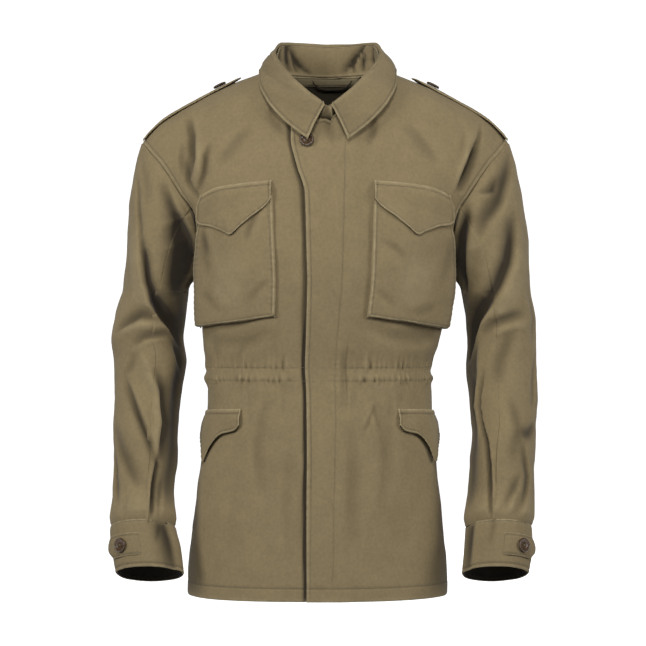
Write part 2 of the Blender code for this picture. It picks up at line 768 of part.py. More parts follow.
def bag_stand(across, up):
    """How far a chest pocket's face stands off the front. It closes towards the top, under the flap."""
    across = min(max(across, 0.0), 1.0)
    stand = BAG_STAND_INNER + (BAG_STAND_OUTER - BAG_STAND_INNER) * across**BAG_STAND_BEND
    stand += BAG_STAND_BOTTOM * (1 - up)
    return BAG_TOP_STAND + (stand - BAG_TOP_STAND) * (1 - BAG_CLOSE * ramp(BAG_CLOSE_START, 1.0, up))


def bag_place(side):
    name = side_name(side)
    bag = Track(BAG_COLUMNS, CHEST_BAG)
    columns, rows = BAG_CELLS
    inner_bottom, inner_top = BAG_INNER[name]

    def place(a, b):
        column = round(a * columns)
        row = round(b * rows)
        across = min(max((column - 1) / (columns - 2), -BAG_FLARE_ACROSS), 1 + BAG_FLARE_ACROSS)
        up = max((row - 1) / (rows - 1), -BAG_FLARE_UP)
        gusset = column in (0, columns) or row == 0
        height = bag("bottom", across) + (bag("top", across) - bag("bottom", across)) * up
        inner = inner_bottom + (inner_top - inner_bottom) * up
        reach = inner + (bag_outer("reach", height) - inner) * across
        lift = overlap_lift(side, reach) + (BAG_GUSSET_LIFT if gusset else bag_stand(across, up))
        return lifted("front", side * reach, height, lift)

    return place


def overlap_lift(side, reach):
    return OVERLAP_LIFT * (1 - ramp(OVERLAP_FULL, OVERLAP_END, reach)) if side > 0 else 0.0


def bag_up(across, height):
    """How far up a chest pocket a height is, from 0 at its bottom edge to 1 at its top edge."""
    bag = Track(BAG_COLUMNS, CHEST_BAG)
    low = bag("bottom", across)
    return (height - low) / (bag("top", across) - low)


def flap_shape(top_table, drop_table):
    top = Track(FLAP_COLUMNS, top_table)
    drop = Track(FLAP_COLUMNS, drop_table)

    def height(across, down):
        return top("height", across) - drop("height", across) * down

    return height


def chest_flap_place(side):
    name = side_name(side)
    height_of = flap_shape(CHEST_FLAP_TOP, CHEST_FLAP_DROP)

    def place(a, b):
        down = 1 - b
        reach = CHEST_FLAP_INNER[name] + (CHEST_FLAP_OUTER - CHEST_FLAP_INNER[name]) * a
        height = height_of(a, down)
        stand = bag_stand(a, min(bag_up(a, height), CHEST_FLAP_HIGHEST)) + CHEST_FLAP_CLEAR
        drop = height_of(a, 0.0) - height
        lift = CHEST_FLAP_ROOT + (stand - CHEST_FLAP_ROOT) * ramp(0.0, CHEST_FLAP_STEP, drop)
        lift += overlap_lift(side, reach)
        return lifted("front", side * reach, height, lift)

    return place


def hip_flap_place(side):
    height_of = flap_shape(HIP_FLAP_TOP, HIP_FLAP_DROP)

    def place(a, b):
        down = 1 - b
        height = height_of(a, down)
        start = reach_angle("front", HIP_FLAP_INNER, height, 0.0)
        angle = start + (HIP_FLAP_END - start) * a
        lift = HIP_FLAP_ROOT + HIP_FLAP_STAND * ramp(0.0, HIP_FLAP_BEND, down)
        return around(side * angle, height, lift)

    return place


def add_pockets(finish):
    for side, letter in SIDES:
        for name, cells, place in (
            ("chest_pocket_", BAG_CELLS, bag_place(side)),
            ("chest_flap_", FLAP_CELLS, chest_flap_place(side)),
            ("hip_flap_", FLAP_CELLS, hip_flap_place(side)),
        ):
            cloth(name + letter, finish, *cells, place, INSIDE_BODY, TRIM_WALL)


# Collar. Each row is a place round half the neck, from the centre back to the centre front.

COLLAR_CENTRE = 0.004
COLLAR_COLUMNS = ("place", "neck_reach", "roll_x", "roll_y", "roll_z", "edge_x", "edge_y", "edge_z")
COLLAR_SECTIONS = (
    (0.0, 0.0000, 0.000, 0.060, 0.0550, 0.000, 0.0920, -0.0100),
    (1.0, 0.0400, 0.040, 0.050, 0.0560, 0.058, 0.0760, -0.0060),
    (2.0, 0.0680, 0.066, 0.020, 0.0530, 0.092, 0.0360, 0.0085),
    (3.0, 0.0780, 0.073, -0.012, 0.0370, 0.098, -0.0120, 0.0115),
    (4.0, 0.0700, 0.064, -0.040, 0.0160, 0.097, -0.0520, -0.0110),
    (5.0, 0.0500, 0.045, -0.066, -0.0070, 0.085, -0.0840, -0.0380),
    (6.0, 0.0270, 0.024, -0.084, -0.0290, 0.060, -0.1030, -0.0680),
    (7.0, 0.0010, 0.005, -0.096, -0.0450, 0.028, -0.1155, -0.0935),
)
SHOULDER_PLACE = 3.0
COLLAR_PLACES = 7.0
COLLAR_STEPS = 26
ROLL_RISE = 0.0030
ROLL_WIDTH = 0.0052
FALL_ROWS = 7
FALL_BELLY = 0.0040
FALL_BELLY_UP = Vector((0, 0, 0.5))
STAND_ROWS = 2
INSIDE_COLLAR = Vector((COLLAR_CENTRE, -0.010, -0.010))
STAND_GAP_BACK = 0.0013
STAND_GAP_FRONT = 0.0064
STAND_TOP_DROP = 0.0028

collar = Track(COLLAR_COLUMNS, COLLAR_SECTIONS)


def collar_point(kind, place):
    side = math.copysign(1, place)
    at = abs(place)
    if kind == "neck":
        face = "back" if at < SHOULDER_PLACE else "front"
        reach = collar("neck_reach", at)
        return skin(face, reach * side, neck_height(face, reach))
    x = collar(kind + "_x", at) * side + COLLAR_CENTRE
    return Vector((x, collar(kind + "_y", at), collar(kind + "_z", at)))


def fall_place(a, b):
    """The collar's fall: from inside the roll, over it, and down to the outer edge."""
    place = COLLAR_PLACES * (1 - 2 * a)
    roll = collar_point("roll", place)
    edge = collar_point("edge", place)
    out = Vector((edge.x - roll.x, edge.y - roll.y, 0)).normalized()
    row = round((1 - b) * FALL_ROWS)
    if row == 0:
        return roll
    if row == 1:
        return roll + out * ROLL_WIDTH * 0.5 + Vector((0, 0, ROLL_RISE))
    start = roll + out * ROLL_WIDTH
    down = (row - 2) / (FALL_ROWS - 2)
    belly = FALL_BELLY * math.sin(math.pi * down)
    return start + (edge - start) * down + (out + FALL_BELLY_UP).normalized() * belly


def stand_place(a, b):
    place = COLLAR_PLACES * (1 - 2 * a)
    neck = collar_point("neck", place)
    roll = collar_point("roll", place)
    up = (roll - neck).normalized()
    frontness = ramp(abs(place), SHOULDER_PLACE, SHOULDER_PLACE + 1)
    gap = STAND_GAP_BACK + (STAND_GAP_FRONT - STAND_GAP_BACK) * frontness
    return neck + up * gap + (roll - neck - up * (gap + STAND_TOP_DROP)) * b


def add_collar(finish):
    cloth("collar_fall", finish, COLLAR_STEPS, FALL_ROWS, fall_place, INSIDE_COLLAR, TRIM_WALL)
    cloth("collar_stand", finish, COLLAR_STEPS, STAND_ROWS, stand_place, INSIDE_COLLAR, TRIM_WALL)


# Shoulder loops

STRAP_INNER = 0.134
STRAP_OUTER = 0.2585
STRAP_HALF_OUTER = 0.0260
STRAP_HALF_INNER = 0.0200
STRAP_POINT = 0.014
STRAP_POINT_SHARE = 0.25
STRAP_PITCH = 0.004
STRAP_INSIDE = (0.19, 0.0, -0.20)
STRAP_LIFT_INNER = 0.0050
STRAP_LIFT_OUTER = 0.0026
STRAP_CELLS = (12, 4)


def ridge_point(reach, across):
    """A point over the shoulder seam, across metres behind it."""
    face = "back" if across > 0 else "front"
    lean = BACK_LEAN if across > 0 else FRONT_LEAN
    depth = body("back" if across > 0 else "front", 0.0)
    rise = (1 - min(abs(across) / depth, 1.0) ** lean) ** (1 / lean)
    height = height_at(reach, rise)
    return Vector((reach + body("centre", height), across, height))


def strap_place(side):
    def place(a, b):
        along = STRAP_INNER + (STRAP_OUTER - STRAP_INNER) * a
        half = STRAP_HALF_INNER + (STRAP_HALF_OUTER - STRAP_HALF_INNER) * a
        across = (2 * b - 1) * half
        along -= STRAP_POINT * (1 - abs(2 * b - 1)) * (1 - ramp(0.0, STRAP_POINT_SHARE, a))
        point = ridge_point(along * side, across)
        slope = ridge_point((along + STRAP_PITCH) * side, across) - point
        up = Vector((-slope.z * side, 0, slope.x * side)).normalized()
        lift = STRAP_LIFT_OUTER + (STRAP_LIFT_INNER - STRAP_LIFT_OUTER) * (1 - a) ** 2
        return point + up * lift

    return place


def add_straps(finish):
    for side, letter in SIDES:
        below = Vector((side * STRAP_INSIDE[0], *STRAP_INSIDE[1:]))
        cloth("epaulette_" + letter, finish, *STRAP_CELLS, strap_place(side), below, TRIM_WALL)


# Cuff tabs

TAB_TURNS = (84.0, 4.0)
TAB_LIFT = 0.0022
TAB_TIP_LIFT = 0.0052
TAB_HEIGHT = -0.667
TAB_HALF = 0.0150
TAB_POINT_SHARE = 0.30
TAB_TIP_WIDTH = 0.08
TAB_INSIDE = (0.246, -0.08)
TAB_CELLS = (9, 4)


def tab_inside(side):
    """A point inside the cuff, at the tab's height."""
    return Vector((side * TAB_INSIDE[0], TAB_INSIDE[1], TAB_HEIGHT))


def tab_place(side):
    def place(a, b):
        turn = TAB_TURNS[0] + (TAB_TURNS[1] - TAB_TURNS[0]) * a
        half = TAB_HALF * min(1.0, (1.0 - a) / TAB_POINT_SHARE + TAB_TIP_WIDTH)
        height = TAB_HEIGHT + (2 * b - 1) * half
        lift = TAB_LIFT + (TAB_TIP_LIFT - TAB_LIFT) * ramp(0.5, 1.0, a)
        return ring_point(side, turn, height, lift)

    return place


def add_tabs(finish):
    for side, letter in SIDES:
        cloth("cuff_tab_" + letter, finish, *TAB_CELLS, tab_place(side), tab_inside(side), TRIM_WALL)


# Buttons

BUTTON_STEPS = 16
# A button's profile as radius and height, from the centre of its face to the rim and back under it
BUTTON_PROFILE = (
    (0.0000, 0.0020),
    (0.0055, 0.0019),
    (0.0072, 0.0032),
    (0.0088, 0.0036),
    (0.0100, 0.0024),
    (0.0094, 0.0006),
    (0.0000, 0.0000),
)
BUTTON_GAP = 0.0004


def add_button(name, finish, seat, normal):
    bm = bmesh.new()
    points = [bm.verts.new((radius, 0, height)) for radius, height in BUTTON_PROFILE]
    for first, second in zip(points, points[1:]):
        bm.edges.new((first, second))
    mesh = bpy.data.meshes.new(name)
    bm.to_mesh(mesh)
    bm.free()
    made = add_object(name, mesh, finish)
    turned = made.modifiers.new("Turned", "SCREW")
    turned.steps = BUTTON_STEPS
    turned.render_steps = BUTTON_STEPS
    turned.use_merge_vertices = True
    turned.merge_threshold = 0.0001
    turned.use_smooth_shade = True
    turned.use_normal_calculate = True
    made.location = seat + normal * BUTTON_GAP
    made.rotation_euler = normal.to_track_quat("Z", "Y").to_euler()


NECK_BUTTON = (-0.0255, -0.0950)
STRAP_BUTTON_SHARES = (0.11, 0.16, 0.21)
CUFF_BUTTON_TURNS = (45.0, 50.0, 55.0)


def add_buttons(finish):
    reach, height = NECK_BUTTON
    normal = outward("front", reach, height)
    add_button("button_neck", finish, lifted("front", reach, height, OVERLAP_LIFT), normal)
    for side, letter in SIDES:
        place = strap_place(side)
        first, seat, last = (place(share, 0.5) for share in STRAP_BUTTON_SHARES)
        normal = Vector(((first.z - last.z) * side, 0, (last.x - first.x) * side)).normalized()
        add_button("button_epaulette_" + letter, finish, seat, normal)
        first, middle, last = (ring_point(side, turn, TAB_HEIGHT, TAB_LIFT) for turn in CUFF_BUTTON_TURNS)
        above = ring_point(side, CUFF_BUTTON_TURNS[1], TAB_HEIGHT + TAB_HALF, TAB_LIFT)
        normal = (last - first).cross(above - middle).normalized()
        if normal.dot(middle - tab_inside(side)) < 0:
            normal = -normal
        add_button("button_cuff_" + letter, finish, middle, normal)


# Inside the back of the neck

FACING_HALF = 0.048
FACING_TOP = 0.008
FACING_BOTTOM = -0.012
FACING_DEPTH = 0.0036
FACING_CELLS = (10, 2)
LOOP_ENDS = (-0.016, 0.030)
LOOP_TOP = 0.004
LOOP_SAG = 0.009
LOOP_STAND = 0.0074
LOOP_RADIUS = 0.0016
LOOP_POINTS = 11


def facing_place(a, b):
    reach = FACING_HALF * (2 * a - 1)
    height = FACING_BOTTOM + (FACING_TOP - FACING_BOTTOM) * b
    return lifted("back", reach, height, -FACING_DEPTH)


def add_neck_inside(facing_finish, loop_finish):
    cloth("neck_facing", facing_finish, *FACING_CELLS, facing_place, INSIDE_COLLAR, TRIM_WALL)
    curve = bpy.data.curves.new("hanger_loop", "CURVE")
    curve.dimensions = "3D"
    curve.bevel_depth = LOOP_RADIUS
    curve.bevel_resolution = 1
    curve.use_fill_caps = True
    spline = curve.splines.new("POLY")
    spline.points.add(LOOP_POINTS - 1)
    for i, point in enumerate(spline.points):
        share = i / (LOOP_POINTS - 1)
        reach = LOOP_ENDS[0] + (LOOP_ENDS[1] - LOOP_ENDS[0]) * share
        height = LOOP_TOP - LOOP_SAG * (1 - (2 * share - 1) ** 4)
        point.co = (*lifted("back", reach, height, -LOOP_STAND), 1)
    add_object("hanger_loop", curve, loop_finish)


def clear_scene():
    for old in list(bpy.data.objects):
        bpy.data.objects.remove(old)
    collection = bpy.data.collections.new(JACKET)
    bpy.context.scene.collection.children.link(collection)


def main():
    clear_scene()
    olive = material("olive_sateen", (0.215, 0.175, 0.105), 0.85)
    brown = material("button_brown", (0.045, 0.028, 0.018), 0.35)
    facing = material("neck_facing_cotton", (0.24, 0.22, 0.12), 0.85)
    add_body(olive)
    add_sleeves(olive)
    add_pockets(olive)
    add_collar(olive)
    add_straps(olive)
    add_tabs(olive)
    add_buttons(brown)
    add_neck_inside(facing, olive)


if __name__ == "__main__":
    main()
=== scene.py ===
"""Olive field jacket, filled out as when worn with no wearer in it: its cloth, seams, stitching and buttons.

Metres, +Z up. The front faces -Y, and +X is the wearer's left. The origin is the centre of the neck
opening. Each cloth piece is a thin shell on the form of its solid, with its creases, gathers, puckers
and worn edges added, and every row of topstitching is made of single stitches. The tables of places are
in millimetres and degrees.
"""

import math

import bmesh
import bpy
import numpy as np
from mathutils import Matrix, Vector


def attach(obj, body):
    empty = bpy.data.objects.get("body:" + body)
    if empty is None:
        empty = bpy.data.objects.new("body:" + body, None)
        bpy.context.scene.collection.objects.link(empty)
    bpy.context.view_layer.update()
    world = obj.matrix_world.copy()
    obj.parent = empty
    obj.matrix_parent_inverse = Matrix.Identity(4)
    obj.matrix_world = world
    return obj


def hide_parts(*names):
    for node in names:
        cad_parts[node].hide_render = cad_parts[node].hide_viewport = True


bl_info = {
    "name": "Field Jacket",
    "version": (1, 0, 0),
    "blender": (4, 5, 0),
    "location": "View3D > Sidebar > Jacket",
    "description": "Builds an olive field jacket piece by piece",
    "category": "Add Mesh",
}

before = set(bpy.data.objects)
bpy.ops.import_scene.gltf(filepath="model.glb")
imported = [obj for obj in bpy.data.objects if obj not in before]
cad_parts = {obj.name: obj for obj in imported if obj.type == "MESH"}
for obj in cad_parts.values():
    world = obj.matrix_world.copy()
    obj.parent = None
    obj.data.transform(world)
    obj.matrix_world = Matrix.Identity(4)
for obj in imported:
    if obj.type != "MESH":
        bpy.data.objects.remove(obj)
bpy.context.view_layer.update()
SIDES = {"l": 1, "r": -1}
LONG_NAMES = {"l": "left", "r": "right"}
MM = 0.001
FULL_TURN = 2 * math.pi

CLOTH_WALL = 0.0016
TRIM_WALL = 0.0015

HEM = -0.732
UNDERARM = -0.276
NECK_FRONT = -0.052
NECK_BACK = 0.010
NECK_HALF_WIDTH = 0.078
LEVEL_REACH = 0.100
PITCH = 0.002
BODY_MIDDLE = (0, 0, -0.35)

# How square the body is from above, and how square the shoulders are from the side
FRONT_SQUARENESS = 2.5
BACK_SQUARENESS = 2.4
FRONT_LEAN = 2.0
BACK_LEAN = 2.3

OVERLAP_LIFT = 0.0034
OVERLAP = (0.031, 0.064)
NECK_EDGE_SLOPE = 0.50
THROAT_DROP = 0.012
THROAT_HALF = 0.030
THROAT_NOTCH = 0.012
THROAT_NOTCH_HALF = 0.0042
THROAT_MIDDLE = 0.004

TRACK_STEPS = 1201


class Track:
    """Smooth values between the rows of a table, read at any places along its first column. The columns
    named as plain are shares or degrees, and the others millimetres."""

    def __init__(self, columns, rows, plain=""):
        columns = columns.split()
        rows = np.array(sorted(rows), float) * [1 if name in plain.split() else MM for name in columns]
        places = rows[:, 0]
        self.places = np.linspace(places[0], places[-1], TRACK_STEPS)
        self.values = {name: smooth_column(places, values, self.places) for name, values in zip(columns, rows.T)}

    def __call__(self, name, place):
        return np.interp(place, self.places, self.values[name])


def smooth_column(places, values, at):
    """A cubic through the values that has no bump between them."""
    slopes = np.diff(values) / np.diff(places)
    before = np.concatenate([slopes[:1], slopes])
    after = np.concatenate([slopes, slopes[-1:]])
    both = np.where(before * after > 0, before + after, 1.0)
    knots = np.where(before * after > 0, 2 * before * after / both, 0.0)
    i = np.clip(np.searchsorted(places, at) - 1, 0, len(places) - 2)
    step = places[i + 1] - places[i]
    t = (at - places[i]) / step
    return curve(t, values[i], knots[i] * step, values[i + 1], knots[i + 1] * step)


def curve(t, start, leave, end, arrive):
    """A cubic from start to end that leaves and arrives with the slopes given."""
    start_part = start * (1 + 2 * t) * (1 - t) ** 2 + leave * t * (1 - t) ** 2
    return start_part + end * t * t * (3 - 2 * t) - arrive * t * t * (1 - t)


# From the hem up. The centre column leans the whole jacket.
body = Track("height centre half_width front back", (
    (-744, -11.5, 186, 124, 118), (-687, -10.8, 183, 122, 117), (-600, -9.7, 173.5, 119, 115),
    (-520, -8, 165.5, 115, 111), (-446, -7.5, 160, 109, 103), (-412, -8.5, 160, 107, 101),
    (-378, -6.5, 167.5, 112, 106), (-330, -3, 174.5, 120, 114), (-276, 0, 179, 125, 120),
    (-160, 0, 185, 126, 122), (50, 3, 185, 126, 122),
))
shoulder = Track("reach height", (
    (0, 38), (80, 14), (144, -11), (190, -33), (212, -45), (229, -56), (242, -67), (253, -78), (262, -90),
))
# By how far up the armhole is from the underarm to the shoulder
armhole = Track("rise front_reach back_reach depth_left", (
    (0, 179, 179, 0), (0.19, 180, 184, 0.42), (0.345, 188, 195, 0.56), (0.47, 204, 209, 0.6),
    (0.66, 227, 230, 0.6), (0.84, 248, 250, 0.54), (1, 262, 262, 0.5),
), "rise depth_left")
side_seam = Track("height angle", ((-732, 104), (-450, 103), (-330, 96), (-276, 90)), "angle")
# The free edges of the front on top and of the one under it
front_edge = Track("height over under", (
    (-732, -14, -20), (-420, -19, -20), (-260, -25, -21), (-166, -28, -22), (-125, -39, -22), (-78, -48, -22),
    (0, -48, -22),
))


def ramp(low, high, value):
    """A smooth step from 0 at low to 1 at high."""
    t = np.clip((value - low) / (high - low), 0.0, 1.0)
    return t * t * (3 - 2 * t)


def mix(low, high, share):
    return low + (high - low) * share


def hump(distance, width):
    return np.exp(-((distance / width) ** 2))


def points_of(x, y, z):
    return np.stack(np.broadcast_arrays(x, y, z), axis=-1).astype(float)


def unit(vectors):
    return vectors / np.maximum(np.linalg.norm(vectors, axis=-1, keepdims=True), 1e-12)


def lengths_along(points):
    steps = np.linalg.norm(np.diff(points, axis=0), axis=1)
    return np.concatenate([[0.0], np.cumsum(steps)])


def rise_at(reach, height):
    """How far up from the underarm to the shoulder line a place is, from 0 to 1."""
    return (height - UNDERARM) / (shoulder("height", abs(reach)) - UNDERARM)


def height_at(reach, rise):
    return UNDERARM + (shoulder("height", abs(reach)) - UNDERARM) * rise


def section(front, height, rise):
    """Half width, depth, squareness and armhole angle of the body's section on one face."""
    square = np.where(front, FRONT_SQUARENESS, BACK_SQUARENESS)
    lean = np.where(front, FRONT_LEAN, BACK_LEAN)
    depth = np.where(front, body("front", height), body("back", height))
    up = np.clip(rise, 0.0, 1.0)
    edge = np.arccos(armhole("depth_left", up) ** (square / 2))
    reach = np.where(front, armhole("front_reach", up), armhole("back_reach", up))
    half = np.where(rise > 0, reach / np.sin(edge) ** (2 / square), body("half_width", height))
    depth = depth * np.maximum(0.0, 1 - up**lean) ** (1 / lean)
    return half, depth, square, np.where(rise > 0, np.degrees(edge), 90.0)


def skin(front, reach, height):
    """Points on the body's outer skin, from their distance to its centre line and their height."""
    half, depth, square, _ = section(front, height, rise_at(reach, height))
    out = np.minimum(abs(reach) / half, 1.0)
    y = depth * np.maximum(0.0, 1 - out**square) ** (1 / square)
    return points_of(reach + body("centre", height), np.where(front, -y, y), height)


def around(angle, height, lift=0.0):
    """Points round the body below the underarm. 0 degrees is the centre front and 90 the wearer's left."""
    front = abs(angle) <= 90
    half, depth, square, _ = section(front, height, 0.0)
    turn = np.radians(angle)
    side, face = np.sign(angle), np.where(front, -1.0, 1.0)
    sine, cosine = abs(np.sin(turn)), abs(np.cos(turn))
    power = 2 / square
    out = unit(points_of(sine ** (2 - power) / half * side, cosine ** (2 - power) / depth * face, 0.0))
    x = half * sine**power * side + body("centre", height)
    return points_of(x, depth * cosine**power * face, height) + out * np.asarray(lift)[..., None]


def outward(front, reach, height):
    """The skin's normals, which point out of the body."""
    reach = np.where(abs(reach) < 1e-6, 1e-6, reach)
    near = np.maximum(abs(reach) - PITCH, 0.0) * np.sign(reach)
    rise = rise_at(near, height)
    half = section(front, height, rise)[0]
    inner = np.minimum(abs(near), half - 2 * PITCH) * np.sign(reach)
    low = np.where(rise < 0.98, height - PITCH, height - 3 * PITCH)
    across = skin(front, inner + PITCH, low) - skin(front, inner - PITCH, low)
    along = skin(front, inner, low + PITCH) - skin(front, inner, low - PITCH)
    normal = unit(np.cross(across, along))
    flip = (normal[..., 1] < 0) != np.broadcast_to(front, normal[..., 1].shape)
    return np.where(flip[..., None], -normal, normal)


def lifted(front, reach, height, lift):
    """Points that stand off the body's skin."""
    reach, height, lift = np.broadcast_arrays(reach, height, lift)
    return skin(front, reach, height) + outward(front, reach, height) * lift[..., None]


def reach_angle(reach, height, rise):
    """The angle round the front of a place that is reach from the centre line."""
    half, _, square, _ = section(True, height, rise)
    turn = np.arcsin(np.minimum(abs(reach) / half, 1.0) ** (square / 2))
    return np.degrees(turn) * np.sign(reach)


def neck_height(front, reach):
    """The neck seam's height. Past the centre front the seam runs on, down to the overlap's corner."""
    lowest = np.where(front, NECK_FRONT, NECK_BACK)
    out = np.minimum(abs(reach) / NECK_HALF_WIDTH, 1.0)
    top = shoulder("height", NECK_HALF_WIDTH)
    height = lowest + (top - lowest) * (1 - np.sqrt(1 - out * out))
    drop = THROAT_DROP * (1 - ramp(0.0, THROAT_HALF, abs(reach))) * front
    return np.where(front & (reach < 0), NECK_FRONT + NECK_EDGE_SLOPE * reach, height) - drop


def top_rise(front, reach):
    """How far up a panel reaches: to the neck seam near the neck, and to the shoulder seam outside it."""
    return np.where(abs(reach) >= NECK_HALF_WIDTH, 1.0, rise_at(reach, neck_height(front, reach)))


def panel_points(front, side, angle, height, rise):
    """Points of a body panel, from the angle of each round the body, and its reach and height."""
    low = around(angle * side, height)
    half, _, square, _ = section(front, height_at(LEVEL_REACH, rise), rise)
    turn = np.radians(angle if front else 180 - angle)
    own = half * abs(np.sin(turn)) ** (2 / square) * np.sign(turn)
    high_reach = own * side
    high_height = height_at(high_reach, rise * top_rise(front, own))
    if front:
        # The fronts are cut lower in the small gap at the throat, under the ends of the collar's stand
        notch = np.maximum(0.0, 1 - abs(own * side - THROAT_MIDDLE) / THROAT_NOTCH_HALF)
        high_height = high_height - THROAT_NOTCH * notch * np.clip(rise * 2 - 1, 0, 1)
    upper = rise > 0
    points = np.where(upper[..., None], skin(front, high_reach, high_height), low)
    reach = np.where(upper, high_reach, low[..., 0] - body("centre", height))
    return points, reach, np.where(upper, high_height, height)


def overlap_lift(side, reach):
    """How much further out the left front lies where it covers the right one."""
    return OVERLAP_LIFT * (1 - ramp(*OVERLAP, reach)) if side > 0 else 0.0


CREASE_END_SHARE = 0.25
LIP_STEP = 1.9


def crease_field(rows, x, z):
    """How far creases push the cloth outwards, at places x and z on it. Each row is where a crease's two ends
    are, how far it stands out (troughs are negative), how wide it is, how far its middle bows sideways, and
    the share of its height that is raised beside it."""
    total = np.zeros(np.broadcast(x, z).shape)
    for *sizes, lip in rows:
        x0, z0, x1, z1, depth, width, bow = np.array(sizes) * MM
        run = math.hypot(x1 - x0, z1 - z0)
        ux, uz = (x1 - x0) / run, (z1 - z0) / run
        along = np.clip(((x - x0) * ux + (z - z0) * uz) / run, 0.0, 1.0)
        arch = bow * 4 * along * (1 - along)
        away_x = x - x0 - along * run * ux + arch * uz
        away_z = z - z0 - along * run * uz - arch * ux
        away = np.hypot(away_x, away_z)
        signed = np.where(away_x * uz - away_z * ux < 0, -away, away)
        strength = depth * mix(CREASE_END_SHARE, 1.0, np.sin(math.pi * along))
        total += strength * (hump(away, width) - lip * hump(signed - LIP_STEP * width, width))
    return total


LONG_LIP = 0.22
LONG_LIP_WIDTH = 1.7
LONG_END = 0.012
SKEW_REACH = 0.3


def long_creases(rows, x, z):
    """How far long creases push the cloth outwards. Each row is the depth (troughs are negative), the width,
    how much steeper one side is (positive: the side to the right of the line's way), and the line's places."""
    total = np.zeros(np.broadcast(x, z).shape)
    for depth, width, skew, *line in rows:
        width = width * MM
        line = np.reshape(line, (-1, 2)) * MM
        starts = lengths_along(line)
        nearest, share, turned = np.full(total.shape, np.inf), 0.0, 0.0
        for (x0, z0), (x1, z1), start, end in zip(line, line[1:], starts, starts[1:]):
            run = end - start
            ux, uz = (x1 - x0) / run, (z1 - z0) / run
            along = np.clip((x - x0) * ux + (z - z0) * uz, 0.0, run)
            away_x, away_z = x - x0 - along * ux, z - z0 - along * uz
            away = np.hypot(away_x, away_z)
            closer = away < nearest
            nearest = np.where(closer, away, nearest)
            share = np.where(closer, (start + along) / starts[-1], share)
            turned = np.where(closer, np.tanh((away_x * uz - away_z * ux) / (SKEW_REACH * width)), turned)
        side = nearest / (width * (1 - skew * turned))
        strength = np.sqrt(np.sin(math.pi * np.clip(share, LONG_END, 1 - LONG_END)))
        lip = LONG_LIP * np.maximum(0.0, turned * np.sign(skew)) * hump(side - LONG_LIP_WIDTH, 1.0)
        total += depth * MM * strength * (hump(side, 1.0) - lip)
    return total


# Broad uneven waves of worn cloth: each wave's length, its direction, its height and its phase
WORN_WAVES = (
    (173, 24, 0.5, 0.4), (118, 97, 0.42, 2.1), (83, 151, 0.32, 4), (61, 52, 0.26, 1.2), (43, 118, 0.18, 5.3),
    (31, 12, 0.12, 3.3), (22, 77, 0.08, 0.9),
)
WAVE_TURN = 17
# How far the waves bend, and over how many of their own lengths
WAVE_BEND = (0.8, 1.7)


def worn_waves(x, z, amount=1.0, seed=0.0):
    total = np.zeros(np.broadcast(x, z).shape)
    for length, heading, height, phase in WORN_WAVES:
        turn = math.radians(heading + WAVE_TURN * seed)
        length = length * MM
        along = (x * math.cos(turn) + z * math.sin(turn)) / length
        beside = (z * math.cos(turn) - x * math.sin(turn)) / (length * WAVE_BEND[1])
        bend = WAVE_BEND[0] * np.sin(FULL_TURN * beside + phase)
        total += height * MM * np.sin(FULL_TURN * along + phase + bend + 3 * seed)
    return total * amount


PUCKER_LENGTH = 0.0078
PUCKER_REACH = 0.0070
# How far the ripples drift along the seam and over what length, and how their height swells
PUCKER_DRIFTS = ((1.3, 0.037), (0.9, 0.0171))
PUCKER_SWELL = (0.65, 0.35, 0.051, 1.7)


def puckers(distance, along, height, seed=0.0):
    """Small ripples across a stitched seam. distance is from the seam and along runs beside it."""
    (wide, wide_length), (fine, fine_length) = PUCKER_DRIFTS
    drift = wide * np.sin(along / wide_length + 2.0 * seed) + fine * np.sin(along / fine_length + seed)
    least, more, length, start = PUCKER_SWELL
    swell = least + more * np.sin(along / length + start + seed)
    return height * hump(distance, PUCKER_REACH) * swell * np.sin(FULL_TURN * along / PUCKER_LENGTH + drift)


EDGE_STEPS = np.array((0, 0.5, 1.2, 2.4, 3.6, 4.8, 6, 7.6)) * MM
ROLL_REACH = 0.0026
EDGE_ROLL = 0.0009
LAP_OUT = 0.0045
LAP_DEPTH = 0.0028
LAP_STEP = 0.0012
WEAR_REACH = 0.0020
LINE_GROOVE = 0.0007
LINE_GROOVE_WIDTH = 0.0012
# Painted shade along each stitched groove, and its width
LINE_SHADE = 0.0042
LINE_SHADE_WIDTH = 0.0010
WELT_PUFF = 0.0007
WELT_OFF = 0.0022


def spaced(count, length):
    """Places from 0 to 1 for count cells over a length, with narrow cells at both ends for turned edges."""
    tight = EDGE_STEPS / length
    middle = np.linspace(tight[-1], 1 - tight[-1], count - 2 * len(tight) + 3)
    return np.concatenate([tight[:-1], middle, (1 - tight[:-1])[::-1]])


def grid_normals(points, closed):
    """Normals of a grid of points. closed says that its columns join round a tube."""
    across = np.gradient(points, axis=1)
    if closed:
        ring = points[:, :-1]
        across = np.roll(ring, -1, axis=1) - np.roll(ring, 1, axis=1)
        across = np.concatenate([across, across[:, :1]], axis=1)
    return unit(np.cross(across, np.gradient(points, axis=0)))


def running_length(points, axis):
    """The length along a grid's rows (axis 1) or columns (axis 0), from its first point."""
    steps = np.linalg.norm(np.diff(points, axis=axis), axis=-1)
    start = np.zeros_like(np.take(steps, [0], axis=axis))
    return np.concatenate([start, np.cumsum(steps, axis=axis)], axis=axis)


